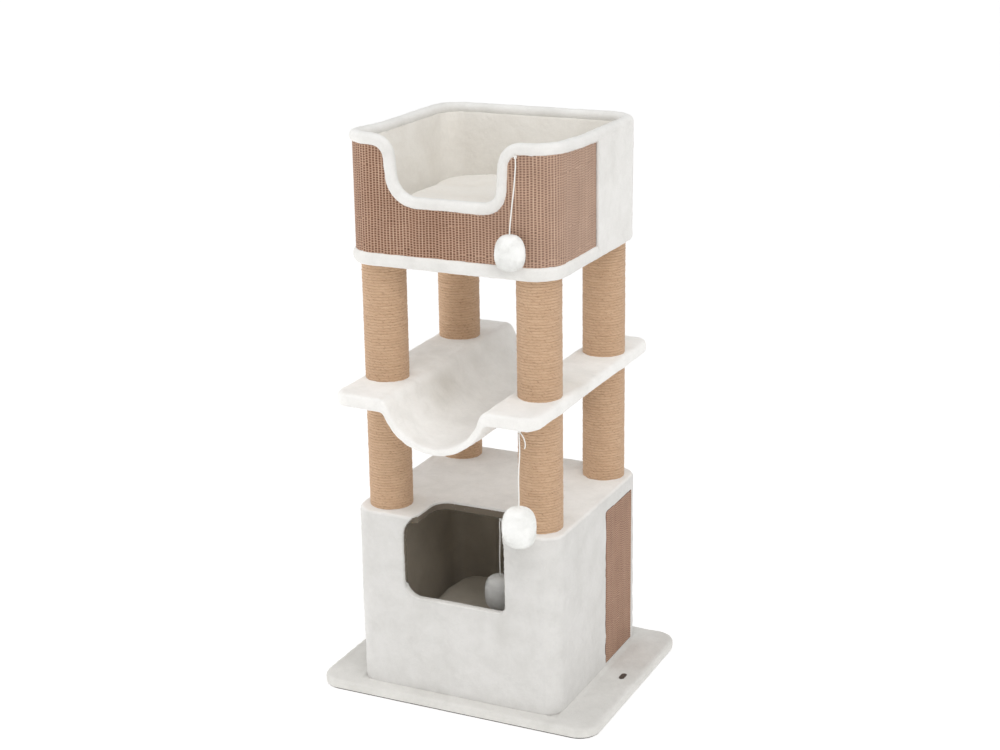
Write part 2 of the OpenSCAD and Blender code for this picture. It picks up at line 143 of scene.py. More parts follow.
def remesh(o, size, smooth=0, factor=0.5):
    m = o.modifiers.new("r", "REMESH")
    m.mode, m.voxel_size, m.adaptivity = "VOXEL", size, 0
    if smooth:
        s = o.modifiers.new("s", "SMOOTH")
        s.iterations, s.factor = smooth, factor
    return baked(o)


def smooth(o, n, factor=0.5):
    s = o.modifiers.new("s", "SMOOTH")
    s.iterations, s.factor = n, factor
    return baked(o)


def subtract(o, *cutters):
    for c in cutters:
        m = o.modifiers.new("b", "BOOLEAN")
        m.operation, m.solver, m.object = "DIFFERENCE", "EXACT", c
    baked(o)
    for c in cutters:
        bpy.data.objects.remove(c)
    return o


def intersect(o, c):
    m = o.modifiers.new("b", "BOOLEAN")
    m.operation, m.solver, m.object = "INTERSECT", "EXACT", c
    baked(o)
    bpy.data.objects.remove(c)
    return o


def rr_loop(hx, hy, r, n=10):
    """Rounded rectangle of half sizes hx, hy, anticlockwise from above."""
    out = []
    for cx, cy, a0 in ((hx - r, hy - r, 0), (-hx + r, hy - r, 90), (-hx + r, -hy + r, 180), (hx - r, -hy + r, 270)):
        for i in range(n + 1):
            a = math.radians(a0 + 90 * i / n)
            out.append((cx + r * math.cos(a), cy + r * math.sin(a)))
    return np.array(out)


def loft(name, loops):
    """Closed solid through loops of equal point count, lowest first, anticlockwise from above."""
    n = len(loops[0])
    verts = np.concatenate(loops)
    faces = []
    for k in range(len(loops) - 1):
        a = k * n
        for i in range(n):
            j = (i + 1) % n
            faces.append((a + i, a + j, a + n + j, a + n + i))
    faces.append(tuple(range(n - 1, -1, -1)))
    faces.append(tuple((len(loops) - 1) * n + i for i in range(n)))
    return new_object(name, verts, faces)


def soft_slab(name, hx, hy, r, z0, z1, top=0.006, bottom=0.003, n=10):
    """Rounded plate with rolled upper and lower edges."""
    loops = []
    for k in range(5):
        a = math.pi / 2 * k / 4
        i = bottom * (1 - math.sin(a))
        loops.append((i, z0 + bottom * (1 - math.cos(a))))
    for k in range(6):
        a = math.pi / 2 * k / 5
        i = top * (1 - math.cos(a))
        loops.append((i, z1 - top + top * math.sin(a)))
    made = []
    for i, z in loops:
        p = rr_loop(hx - i, hy - i, max(r - i, 0.002), n)
        made.append(np.column_stack([p, np.full(len(p), z)]))
    return loft(name, made)


def prism(name, outline, lo, hi, axis):
    """Closed prism of a 2D outline. axis 2: outline is x, y and it runs in z. axis 1: outline is x, z and it runs in y."""
    p = np.asarray(outline, float)
    if axis == 2:
        a = np.column_stack([p, np.full(len(p), lo)])
        b = np.column_stack([p, np.full(len(p), hi)])
    else:
        a = np.column_stack([p[:, 0], np.full(len(p), hi), p[:, 1]])
        b = np.column_stack([p[:, 0], np.full(len(p), lo), p[:, 1]])
    return loft(name, [a, b])


def arc(cx, cy, r, a0, a1, n):
    return [(cx + r * math.cos(math.radians(a0 + (a1 - a0) * i / n)), cy + r * math.sin(math.radians(a0 + (a1 - a0) * i / n))) for i in range(n + 1)]


def grid_faces(nu, nv, wrap_u=False):
    """Quads of a grid with nu columns and nv rows, vertex index v * nu + u."""
    u = np.arange(nu if wrap_u else nu - 1)
    v = np.arange(nv - 1)
    uu, vv = np.meshgrid(u, v)
    a = vv * nu + uu
    b = vv * nu + (uu + 1) % nu
    return np.stack([a, b, b + nu, a + nu], -1).reshape(-1, 4)


def attribute(o, name, values, kind="FLOAT"):
    a = o.data.attributes.new(name, kind, "POINT")
    if kind == "FLOAT":
        a.data.foreach_set("value", np.asarray(values, np.float32))
    else:
        a.data.foreach_set("vector", np.asarray(values, np.float32).ravel())


def finish_piece(o, mat, body, nodes=()):
    o.data.materials.clear()
    o.data.materials.append(mat)
    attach(o, body)
    if nodes:
        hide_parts(*nodes)
    return o


# ------------------------------------------------------------------ materials
class Mat:
    def __init__(self, name):
        self.m = bpy.data.materials.new(name)
        self.m.use_nodes = True
        self.t = self.m.node_tree
        self.t.nodes.clear()
        self.out = self.t.nodes.new("ShaderNodeOutputMaterial")
        self.p = self.t.nodes.new("ShaderNodeBsdfPrincipled")
        self.t.links.new(self.p.outputs[0], self.out.inputs[0])

    def node(self, kind, **inputs):
        n = self.t.nodes.new(kind)
        for k, v in inputs.items():
            if k.startswith("_"):
                setattr(n, k[1:], v)
            else:
                key = k.replace("_", " ")
                if key.isdigit():
                    key = int(key)
                if hasattr(v, "is_output"):
                    self.t.links.new(v, n.inputs[key])
                else:
                    n.inputs[key].default_value = v
        return n

    def coord(self):
        return self.node("ShaderNodeTexCoord").outputs["Object"]

    def attr(self, name, out="Fac"):
        return self.node("ShaderNodeAttribute", _attribute_name=name).outputs[out]

    def noise(self, vec, scale, detail=3.0, rough=0.55, **kw):
        return self.node("ShaderNodeTexNoise", Vector=vec, Scale=scale, Detail=detail, Roughness=rough, **kw).outputs["Fac"]

    def ramp(self, fac, stops):
        n = self.node("ShaderNodeValToRGB", Fac=fac)
        e = n.color_ramp.elements
        while len(e) < len(stops):
            e.new(0.5)
        for el, (pos, col) in zip(e, stops):
            el.position = pos
            el.color = (*col, 1)
        return n.outputs["Color"]

    def math(self, op, a, b=0.0):
        n = self.t.nodes.new("ShaderNodeMath")
        n.operation = op
        for i, v in enumerate((a, b)):
            if hasattr(v, "is_output"):
                self.t.links.new(v, n.inputs[i])
            else:
                n.inputs[i].default_value = v
        return n.outputs[0]

    def mix(self, fac, a, b, blend="MIX"):
        n = self.t.nodes.new("ShaderNodeMix")
        n.data_type = "RGBA"
        n.blend_type = blend
        for i, v in ((0, fac), (6, a), (7, b)):
            if hasattr(v, "is_output"):
                self.t.links.new(v, n.inputs[i])
            elif i == 0:
                n.inputs[i].default_value = v
            else:
                n.inputs[i].default_value = (*v, 1)
        return n.outputs[2]

    def stretch(self, vec, scale):
        return self.node("ShaderNodeMapping", Vector=vec, Scale=scale).outputs[0]

    def bump(self, height, strength, distance, normal=None):
        n = self.node("ShaderNodeBump", Height=height, Strength=strength, Distance=distance)
        if normal is not None:
            self.t.links.new(normal, n.inputs["Normal"])
        return n.outputs[0]

    def set(self, **kw):
        for k, v in kw.items():
            key = k.replace("_", " ")
            s = self.p.inputs[key]
            if hasattr(v, "is_output"):
                self.t.links.new(v, s)
            else:
                s.default_value = v
        return self


def srgb(r, g, b):
    return tuple(((c / 255) / 12.92 if c / 255 <= 0.04045 else ((c / 255 + 0.055) / 1.055) ** 2.4) for c in (r, g, b))


def plush(name, light, dark, sheen=0.35, pile=1.0, tint=(1, 1, 1, 1), upright_shade=None):
    """Short pile fabric: soft patches where the pile lies another way, clumps and single tufts; optionally painted
    shade on upright faces, a cloudy tone and painted shadows from an attribute.
    """
    m = Mat(name)
    c = m.coord()
    patch = m.noise(c, 9.0, 2.0, 0.5, Distortion=0.6)
    clump = m.noise(c, 120.0, 3.0, 0.6)
    tuft = m.noise(c, 620.0, 2.0, 0.6)
    a = m.ramp(patch, [(0.3, dark), (0.62, light)])
    b = m.ramp(clump, [(0.25, tuple(0.90 * x for x in light)), (0.6, light)])
    col = m.mix(0.35, a, b)
    t = m.ramp(tuft, [(0.30, tuple(0.82 * x for x in light)), (0.56, light)])
    col = m.mix(0.25, col, t)
    if upright_shade is not None:
        # painted shade: upright faces made greyer than faces that look up, as if lit from above
        nz = m.node("ShaderNodeSeparateXYZ", Vector=m.node("ShaderNodeNewGeometry").outputs["Normal"]).outputs["Z"]
        up = m.ramp(m.math("ABSOLUTE", nz), [(0.25, upright_shade), (0.85, (1, 1, 1))])
        col = m.mix(1.0, col, up, "MULTIPLY")
        cloud = m.noise(c, 24.0, 3.0, 0.6, Distortion=0.3)
        col = m.mix(1.0, col, m.ramp(cloud, [(0.32, (0.935, 0.935, 0.93)), (0.60, (1, 1, 1))]), "MULTIPLY")
        # painted shadow: beige-grey where the posts and the basket above shade the platform
        col = m.mix(m.attr("rubbed"), col, (0.79, 0.77, 0.735), "MULTIPLY")
    n1 = m.bump(patch, 0.35, 0.004 * pile)
    n2 = m.bump(clump, 0.45, 0.0016 * pile, n1)
    n3 = m.bump(tuft, 0.55, 0.0007 * pile, n2)
    m.set(Base_Color=col, Roughness=m.math("ADD", m.math("MULTIPLY", tuft, 0.12), 0.86), Normal=n3)
    m.set(Sheen_Weight=sheen, Sheen_Roughness=0.45, Sheen_Tint=tint, Specular_IOR_Level=0.18)
    return m.m


def rope_mat():
    m = Mat("jute_rope")
    rc = m.node("ShaderNodeAttribute", _attribute_name="rope").outputs["Vector"]   # along, round, turn
    depth = m.attr("depth")
    fibre = m.noise(m.stretch(rc, (70.0, 1.9, 40.0)), 1.0, 4.0, 0.65)
    fine = m.noise(m.stretch(rc, (420.0, 9.0, 40.0)), 1.0, 3.0, 0.6)
    tone = m.noise(m.stretch(rc, (9.0, 0.2, 3.0)), 1.0, 2.0, 0.6)
    col = m.ramp(fibre, [(0.25, srgb(168, 132, 102)), (0.5, srgb(212, 177, 145)), (0.75, srgb(238, 209, 180))])
    shade = m.ramp(tone, [(0.3, srgb(194, 158, 126)), (0.7, srgb(230, 198, 166))])
    col = m.mix(0.45, col, shade)
    thread = m.ramp(fine, [(0.32, srgb(158, 122, 92)), (0.55, srgb(230, 198, 166))])
    col = m.mix(0.3, col, thread)
    # painted shade: darker down in the grooves between the turns of rope, by an uneven amount
    groove_shade = m.ramp(depth, [(0.0, srgb(196, 172, 152)), (0.50, (1, 1, 1))])
    loose = m.noise(m.stretch(rc, (55.0, 0.35, 7.0)), 1.0, 3.0, 0.7)
    col = m.mix(m.math("MULTIPLY", m.math("ADD", loose, 0.25), 0.9), col, groove_shade, "MULTIPLY")
    spot = m.noise(m.stretch(rc, (150.0, 1.1, 23.0)), 1.0, 2.0, 0.6)
    col = m.mix(m.ramp(spot, [(0.57, (0, 0, 0)), (0.70, (0.85, 0.85, 0.85))]), col, srgb(140, 104, 76))
    col = m.mix(1.0, col, (0.868, 0.856, 0.842), "MULTIPLY")
    n1 = m.bump(fibre, 0.6, 0.0009)
    n2 = m.bump(fine, 0.6, 0.0005, n1)
    m.set(Base_Color=col, Roughness=m.math("ADD", m.math("MULTIPLY", fibre, 0.15), 0.78), Normal=n2, Sheen_Weight=0.12, Sheen_Roughness=0.5, Specular_IOR_Level=0.25)
    return m.m


def sisal_mat():
    m = Mat("sisal_mat")
    c = m.coord()
    h = m.attr("weave")
    tone = m.attr("tone")
    thread = m.attr("thread")
    fine = m.noise(m.stretch(c, (420.0, 420.0, 1500.0)), 1.0, 3.0, 0.65)
    vein = m.noise(m.stretch(c, (1500.0, 1500.0, 90.0)), 1.0, 3.0, 0.6)
    patch = m.noise(c, 14.0, 2.0, 0.5)
    # colour follows the weave's height: painted shade darkens the holes between the yarns
    col = m.ramp(h, [(0.08, srgb(62, 42, 30)), (0.40, srgb(132, 99, 79)), (0.66, srgb(178, 143, 120)), (0.95, srgb(212, 181, 158))])
    col = m.mix(m.math("MULTIPLY", tone, 0.30), col, srgb(138, 104, 84))
    col = m.mix(m.math("MULTIPLY", thread, 0.74), col, srgb(226, 201, 180))
    t = m.ramp(fine, [(0.3, srgb(128, 96, 74)), (0.6, srgb(216, 184, 158))])
    col = m.mix(0.22, col, t, "SOFT_LIGHT")
    p = m.ramp(patch, [(0.3, (0.78, 0.75, 0.74)), (0.7, (1, 1, 1))])
    col = m.mix(0.7, col, p, "MULTIPLY")
    # painted light: paler where light from the right falls on the mat
    col = m.mix(m.attr("pale"), col, srgb(236, 212, 192))
    col = m.mix(1.0, col, (0.92, 0.93, 0.95), "MULTIPLY")
    n1 = m.bump(fine, 0.5, 0.0005)
    n2 = m.bump(vein, 0.4, 0.0004, n1)
    m.set(Base_Color=col, Roughness=m.math("ADD", m.math("MULTIPLY", fine, 0.14), 0.8), Normal=n2, Sheen_Weight=0.08, Sheen_Roughness=0.5, Specular_IOR_Level=0.2)
    return m.m


def board_mat():
    m = Mat("chipboard")
    c = m.coord()
    cell = m.node("ShaderNodeTexVoronoi", Vector=m.stretch(c, (1.0, 1.6, 2.2)), Scale=260.0)
    n = m.noise(c, 40.0, 5.0, 0.7)
    col = m.ramp(cell.outputs["Distance"], [(0.05, srgb(150, 118, 78)), (0.5, srgb(214, 184, 138))])
    col = m.mix(0.4, col, m.ramp(n, [(0.3, srgb(168, 132, 88)), (0.7, srgb(226, 198, 152))]))
    m.set(Base_Color=col, Roughness=m.math("ADD", m.math("MULTIPLY", n, 0.2), 0.62), Normal=m.bump(cell.outputs["Distance"], 0.3, 0.0004))
    return m.m


def card_mat():
    m = Mat("card_tube")
    c = m.coord()
    w = m.node("ShaderNodeTexWave", Vector=m.stretch(c, (1.0, 1.0, 1.0)), Scale=12.0, Distortion=1.5, _wave_type="BANDS", _bands_direction="Z").outputs["Fac"]
    n = m.noise(c, 300.0, 4.0, 0.7)
    col = m.mix(0.5, m.ramp(w, [(0.2, srgb(150, 120, 88)), (0.8, srgb(178, 146, 110))]), m.ramp(n, [(0.3, srgb(140, 112, 80)), (0.7, srgb(186, 154, 116))]))
    m.set(Base_Color=col, Roughness=m.math("ADD", m.math("MULTIPLY", n, 0.1), 0.78), Normal=m.bump(n, 0.2, 0.0003))
    return m.m


def steel_mat():
    m = Mat("zinc_steel")
    c = m.coord()
    n = m.noise(m.stretch(c, (200.0, 200.0, 900.0)), 1.0, 3.0, 0.6)
    col = m.ramp(n, [(0.3, srgb(168, 172, 178)), (0.7, srgb(208, 210, 214))])
    m.set(Base_Color=col, Metallic=1.0, Roughness=m.math("ADD", m.math("MULTIPLY", n, 0.2), 0.26), Normal=m.bump(n, 0.15, 0.0001))
    return m.m


def plastic_mat(name, a, b, rough=0.42):
    m = Mat(name)
    c = m.coord()
    n = m.noise(c, 900.0, 2.0, 0.6)
    w = m.noise(c, 60.0, 2.0, 0.5)
    m.set(Base_Color=m.ramp(w, [(0.3, a), (0.7, b)]), Roughness=m.math("ADD", m.math("MULTIPLY", n, 0.2), rough), Normal=m.bump(n, 0.25, 0.0001))
    return m.m


def felt_mat():
    m = Mat("dark_felt")
    c = m.coord()
    n = m.noise(c, 500.0, 5.0, 0.7)
    m.set(Base_Color=m.ramp(n, [(0.3, srgb(34, 32, 31)), (0.7, srgb(70, 66, 63))]), Roughness=m.math("ADD", m.math("MULTIPLY", n, 0.06), 0.9), Normal=m.bump(n, 0.5, 0.0006), Sheen_Weight=0.2, Sheen_Roughness=0.6)
    return m.m


def string_mat():
    m = Mat("toy_string")
    c = m.coord()
    w = m.node("ShaderNodeTexWave", Vector=c, Scale=260.0, Distortion=1.0, _wave_type="BANDS", _bands_direction="DIAGONAL").outputs["Fac"]
    col = m.ramp(w, [(0.2, srgb(214, 212, 206)), (0.7, srgb(248, 247, 244))])
    m.set(Base_Color=col, Roughness=m.math("ADD", m.math("MULTIPLY", w, 0.1), 0.6), Normal=m.bump(w, 0.5, 0.0003))
    return m.m


# One white plush in lit and shaded copies: the platform's copy is painted lighter, the cave's copy carries stronger
# painted shade on its upright faces and the base's copy is painted greyer all over; the other white pieces and the toys
# get a milder painted shade on upright faces.
WHITE = plush("plush_white", srgb(241, 240, 237), srgb(231, 229, 225), 0.3, upright_shade=(0.90, 0.895, 0.89))
WHITE_PAINTED_LIT = plush("plush_platform_painted_lit", srgb(248, 247, 244), srgb(243, 241, 238), 0.3, upright_shade=(0.94, 0.935, 0.93))
WHITE_PAINTED_SHADE = plush("plush_low_painted_shade", srgb(240, 238, 235), srgb(229, 227, 223), 0.25, upright_shade=(0.775, 0.775, 0.772))
WHITE_BASE_PAINTED_SHADE = plush("plush_base_painted_shade", srgb(221, 219, 215), srgb(209, 207, 202), 0.2, upright_shade=(0.97, 0.97, 0.965))
LINING = plush("plush_lining", srgb(240, 237, 231), srgb(226, 221, 213), 0.25)
CREAM = plush("cream_pile", srgb(250, 246, 239), srgb(238, 231, 220), 0.4, 1.6)
TAUPE = plush("taupe_lining", srgb(215, 206, 192), srgb(189, 180, 166), 0.15, 0.8)
# painted shade: dark taupe for the faces inside the cave's doorway and notch
TAUPE_PAINTED_SHADE = plush("taupe_edge_painted_shade", srgb(112, 103, 91), srgb(95, 87, 76), 0.05, 0.8)
TAUPE_CUSHION = plush("taupe_cushion", srgb(226, 219, 206), srgb(204, 196, 182), 0.25, 1.2)
TOY = plush("toy_plush", srgb(250, 250, 248), srgb(244, 244, 242), 0.4, 0.7, upright_shade=(0.95, 0.95, 0.947))
ROPE, SISAL, BOARD, CARD, STEEL = rope_mat(), sisal_mat(), board_mat(), card_mat(), steel_mat()
PLUG = plastic_mat("plug_plastic", srgb(44, 44, 46), srgb(60, 60, 62))
TAG = plastic_mat("tag_dark", srgb(58, 50, 44), srgb(84, 74, 66), 0.3)
FELT, STRING = felt_mat(), string_mat()

for name, node in NODES.items():
    slot = {"chipboard": BOARD, "card_tube": CARD, "zinc_steel": STEEL, "plug_plastic": PLUG, "dark_felt": FELT, "tag_dark": TAG, "toy_string": STRING,
            "jute_rope": ROPE, "sisal_mat": SISAL, "plush_white": WHITE, "taupe_lining": TAUPE, "taupe_cushion": TAUPE_CUSHION, "cream_cushion": CREAM, "toy_plush": TOY}[
        next(s["material_slot"] for s in frame["record"]["subparts"] if s["node"] == name)]
    node.data.materials.clear()
    node.data.materials.append(slot)

# ------------------------------------------------------------------ main sizes, in metres, from the frame
def half(node):
    lo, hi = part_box(node)
    return max(abs(lo.x), abs(hi.x)), max(abs(lo.y), abs(hi.y)), lo.z, hi.z


BX, BY, _, BASE_TOP = half("base_plush")
CX, CY, _, CAVE_TOP = half("cave_plush_cover")
CWX, CWY, _, _ = half("cave_top_board")
_, _, LID_LOW, LID_TOP = half("cave_top_board")
PX_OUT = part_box("platform_plush_right")[1].x
TR_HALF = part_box("platform_plush_right")[0].x
_, PY, P_LOW, P_TOP = half("platform_plush_right")
KX, KY, K_LOW, K_PIPE_TOP = half("basket_floor_piping")
KX = max(KX, half("basket_rim_piping")[0])
KY = half("basket_rim_piping")[1]
RIM_TOP = half("basket_rim_piping")[3]
WX, WY, FLOOR_TOP, WALL_TOP = half("basket_wall_back")[0], half("basket_wall_back")[1], half("basket_wall_back")[2], half("basket_wall_back")[3]
MX, MY, M_LOW, M_TOP = half("basket_sisal_mat")
POSTS = []
for lvl in ("lower", "upper"):
    for p in ("front_left", "front_right", "back_left", "back_right"):
        lo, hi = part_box(f"{lvl}_rope_{p}")
        POSTS.append((f"{lvl}_rope_{p}", (lo.x + hi.x) / 2, (lo.y + hi.y) / 2, lo.z, hi.z))
POST_R = 0.042


def soft_relief(o, amount=0.0012, fine=0.00045, seed=1, keep=None):
    """Uneven pile: long low waves and small clumps, along the normals."""
    p, n = coords(o), normals(o)
    d = amount * (0.6 * vnoise(p, 0.075, seed) + 0.4 * vnoise(p, 0.03, seed + 1)) + fine * (vnoise(p, 0.011, seed + 2) + 0.8 * vnoise(p, 0.0062, seed + 3))
    d = np.maximum(d, -0.0006)
    if keep is not None:
        d = d * keep(p)
    set_coords(o, p + n * d[:, None])
    return o


def post_dents(o, levels, depth=0.0012):
    """The pile stands up a little round each post's foot or head."""
    p, n = coords(o), normals(o)
    d = np.zeros(len(p))
    for name, x, y, z0, z1 in POSTS:
        for z in (z0, z1):
            if any(abs(z - l) < 0.002 for l in levels):
                r = np.hypot(p[:, 0] - x, p[:, 1] - y)
                near = np.abs(p[:, 2] - z) < 0.012
                d = np.maximum(d, near * np.exp(-np.maximum(r - POST_R, 0) / 0.007))
    set_coords(o, p + n * (d * depth)[:, None])
    return o


def tufts(o, mask, count, low, high, width, seed, droop=0.35, lean=0.5, sink=0.0006):
    """Thin tapered tufts of pile rooted on the vertices the mask picks, joined into the piece."""
    import bmesh
    p, n = coords(o), normals(o)
    pick = np.where(mask)[0]
    if len(pick) == 0:
        return o
    rng = np.random.default_rng(seed)
    i = rng.choice(pick, count)
    root = p[i] + rng.normal(size=(count, 3)) * 0.0007 - n[i] * sink
    d = n[i] + rng.normal(size=(count, 3)) * lean + np.array([0, 0, -droop])
    d /= np.linalg.norm(d, axis=1)[:, None]
    side = np.cross(d, rng.normal(size=(count, 3)))
    side /= np.linalg.norm(side, axis=1)[:, None]
    ln = rng.uniform(low, high, count)[:, None] + sink
    bend = n[i] * (-0.25 * ln) + np.array([0, 0, -droop]) * ln * 0.3
    mid = root + d * ln * 0.6
    w = width
    v = np.stack([root - side * w, root + side * w, mid + side * w * 0.75, mid - side * w * 0.75, root + d * ln + bend], 1).reshape(-1, 3)
    k = np.arange(count)[:, None] * 5
    faces = [tuple(f) for f in (k + [0, 1, 2, 3]).tolist()] + [tuple(f) for f in (k + [3, 2, 4]).tolist()]
    me = bpy.data.meshes.new("tufts")
    me.from_pydata(v.tolist(), [], faces)
    bm = bmesh.new()
    bm.from_mesh(o.data)
    bm.from_mesh(me)
    bm.to_mesh(o.data)
    bm.free()
    bpy.data.meshes.remove(me)
    o.data.polygons.foreach_set("use_smooth", np.ones(len(o.data.polygons), bool))
    return o


# ------------------------------------------------------------------ base
def make_base():
    o = soft_slab("base_cover", BX + 0.0006, BY + 0.0006, 0.0426, 0.0022, BASE_TOP + 0.0004, 0.0062, 0.0018, 14)
    remesh(o, 0.0032, 1, 0.4)
    p = coords(o)
    top = p[:, 2] > 0.0205
    soft_relief(o, 0.0009, 0.0004, 11, lambda q: np.where(q[:, 2] > 0.003, 1.0, 0.0))
    p = coords(o)
    # pressed in under the cave's walls
    inside = (np.abs(p[:, 0]) < CX - 0.003) & (np.abs(p[:, 1]) < CY - 0.003) & (p[:, 2] > 0.015)
    p[inside, 2] -= 0.0012
    q = np.column_stack([np.maximum(np.abs(p[:, 0]) - CX + 0.042, 0), np.maximum(np.abs(p[:, 1]) - CY + 0.042, 0)])
    away = np.clip(np.hypot(q[:, 0], q[:, 1]) - 0.042, 0, None)
    near = (~inside) & (p[:, 2] > 0.018)
    p[near, 2] += 0.0022 * np.exp(-(away[near] / 0.006) ** 2)
    set_coords(o, p)
    tufts(o, (p[:, 2] > 0.006) & ~inside, 12000, 0.0006, 0.0016, 0.00024, 12)
    return finish_piece(o, WHITE_BASE_PAINTED_SHADE, "frame", ["base_plush"])


def make_felt():
    # The dark felt reaches nearly to the base's edge, so its rim shows as a thin dark line under the base: the felt's
    # own colour, partly standing in for a painted contact shadow.
    o = soft_slab("base_felt", BX - 0.0030, BY - 0.0030, 0.039, 0.0, 0.0024, 0.0006, 0.0004, 14)
    return finish_piece(o, FELT, "frame", ["base_underlay"])


# ------------------------------------------------------------------ cave
DOOR = 0.106
SILL = 0.2162
SIDE = [(0.0, 0.334), (0.001, 0.346), (0.004, 0.357), (0.0095, 0.366), (0.017, 0.3745), (0.024, 0.381), (0.024, 0.42)]
SIDE_RIGHT = [(0.0, 0.334), (0.0005, 0.352), (0.002, 0.368), (0.004, 0.381), (0.004, 0.42)]
NOTCH_LEFT, NOTCH_RIGHT = 0.082, 0.102
def door_outline(e=0.0):
    return (arc(-DOOR + 0.030 - e, SILL + 0.030 - e, 0.030, 180, 270, 12) + arc(DOOR - 0.014 + e, SILL + 0.014 - e, 0.014, 270, 360, 8) +
            [(DOOR - i + e, z) for i, z in SIDE_RIGHT] + [(-DOOR + i - e, z) for i, z in SIDE[::-1]])


def notch_outline(e=0.0):
    l, n, b = NOTCH_LEFT + e, NOTCH_RIGHT + e, -0.102 + e
    return (arc(n - 0.03, b - 0.03, 0.03, 0, 90, 10)[::1] + arc(-l + 0.03, b - 0.03, 0.03, 90, 180, 10) + [(-l, -0.26), (n, -0.26)])


def door_edge(x, z):
    """Half width of the doorway at height z, on the side x lies on."""
    left = np.interp(z, [q for _, q in SIDE], [DOOR - i for i, _ in SIDE])
    right = np.interp(z, [q for _, q in SIDE_RIGHT], [DOOR - i for i, _ in SIDE_RIGHT])
    return np.where(x < 0, left, right)


def close_slab(name, surf, back, faces):
    """Closed thin piece from a patch of quads, its surface points and the points behind them."""
    nv = len(surf)
    e = np.concatenate([faces[:, [0, 1]], faces[:, [1, 2]], faces[:, [2, 3]], faces[:, [3, 0]]])
    key = np.sort(e, 1)
    key = key[:, 0].astype(np.int64) * nv + key[:, 1]
    _, first, count = np.unique(key, return_index=True, return_counts=True)
    free = e[first[count == 1]]
    allf = np.concatenate([faces, faces[:, ::-1] + nv, np.column_stack([free[:, 1], free[:, 0], free[:, 0] + nv, free[:, 1] + nv])])
    used, inv = np.unique(allf, return_inverse=True)
    return new_object(name, np.concatenate([surf, back])[used], inv.reshape(-1, 4)), used


def skin(o, pick, name, out=0.0005, back=0.0012):
    """Thin fabric lying on the faces of o that pick chooses from their middles and normals."""
    me = o.data
    p, n = coords(o), normals(o)
    f = np.zeros(len(me.polygons) * 4, int)
    me.polygons.foreach_get("vertices", f)
    f = f.reshape(-1, 4)
    c = p[f].mean(1)
    fn = np.zeros(len(f) * 3)
    me.polygons.foreach_get("normal", fn)
    f = f[pick(c, fn.reshape(-1, 3))]
    return close_slab(name, p + n * out, p - n * back, f)[0]


def make_cave():
    panel = [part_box("cave_sisal_panel")[0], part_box("cave_sisal_panel")[1]]
    o = soft_slab("cave_cover", CX + 0.0008, CY + 0.0008, 0.0418, BASE_TOP - 0.0015, CAVE_TOP + 0.0006, 0.0062, 0.004, 14)
    hx, hy = CWX - 0.0125, CWY - 0.0125
    p = rr_loop(hx, hy, 0.0255, 12)
    hollow = loft("hollow", [np.column_stack([p, np.full(len(p), z)]) for z in (0.0, LID_LOW - 0.0005)])
    door = prism("door", door_outline(-0.0004), -0.26, -0.1913, 1)
    notch = prism("notch", notch_outline(-0.0004), 0.335, 0.42, 2)
    rec = prism("rec", [(CWX + 0.0004, panel[0].z - 0.0015), (CX + 0.02, panel[0].z - 0.0015), (CX + 0.02, panel[1].z - 0.0006), (CWX + 0.0004, panel[1].z - 0.0006)], panel[0].y + 0.0006, panel[1].y - 0.0006, 1)
    subtract(o, hollow, door, notch, rec)
    remesh(o, 0.0029, 2, 0.5)
    soft_relief(o, 0.0014, 0.00045, 21, lambda q: np.where(q[:, 2] > 0.026, 1.0, 0.3))
    post_dents(o, [CAVE_TOP])

    def edge(c, n):
        w = door_edge(c[:, 0], c[:, 2])
        lip = 0.0036 + 0.0008 * vnoise(c, 0.0045, 27)
        upright = np.abs(n[:, 2]) < 0.75
        ax = np.abs(c[:, 0])
        fade = 0.024 * np.clip((SILL + 0.036 - c[:, 2]) / 0.028, 0, 1) ** 1.5 * (c[:, 0] < 0)
        door_in = (ax < w + 0.003) & (c[:, 2] > SILL + 0.008) & (c[:, 1] > -CY + lip + fade) & (c[:, 1] < -0.185) & (c[:, 2] < CAVE_TOP - lip)
        notch_in = (c[:, 0] > -NOTCH_LEFT - 0.003) & (c[:, 0] < NOTCH_RIGHT + 0.003) & (c[:, 1] < -0.099) & (c[:, 1] > -CY + lip) & (c[:, 2] > LID_LOW - 0.004) & (c[:, 2] < CAVE_TOP - 0.0052)
        return (door_in & (upright | (c[:, 2] > 0.34))) | (notch_in & upright)

    # painted shade: a dark taupe skin over the doorway's jambs and the notch's inner faces
    finish_piece(skin(o, edge, "cave_edge_painted_shade"), TAUPE_PAINTED_SHADE, "frame")
    p = coords(o)
    front = p[:, 1] < -CY + 0.0065
    ax = np.abs(p[:, 0])
    in_door = np.where(p[:, 2] < SILL + 0.03, DOOR - 0.022 * (1 - np.clip((p[:, 2] - SILL) / 0.03, 0, 1)) * (p[:, 0] < 0), door_edge(p[:, 0], p[:, 2]))
    lip = front & (((np.abs(ax - in_door) < 0.0035) & (p[:, 2] > SILL)) | ((ax < DOOR) & (np.abs(p[:, 2] - SILL) < 0.003)))
    lip |= (p[:, 2] > CAVE_TOP - 0.0062) & (p[:, 1] < -0.098) & ((np.abs(ax - np.where(p[:, 0] < 0, NOTCH_LEFT, NOTCH_RIGHT) - 0.001) < 0.0035) | ((ax < 0.084) & (np.abs(p[:, 1] + 0.102) < 0.0035)))
    tufts(o, p[:, 2] > BASE_TOP + 0.002, 16000, 0.0006, 0.0016, 0.00024, 22)
    p2 = coords(o)
    mask = np.zeros(len(p2), bool)
    mask[:len(lip)] = lip
    tufts(o, mask, 1500, 0.0012, 0.0030, 0.0003, 23, 0.2, 0.7)
    return finish_piece(o, WHITE_PAINTED_SHADE, "frame", ["cave_plush_cover"])


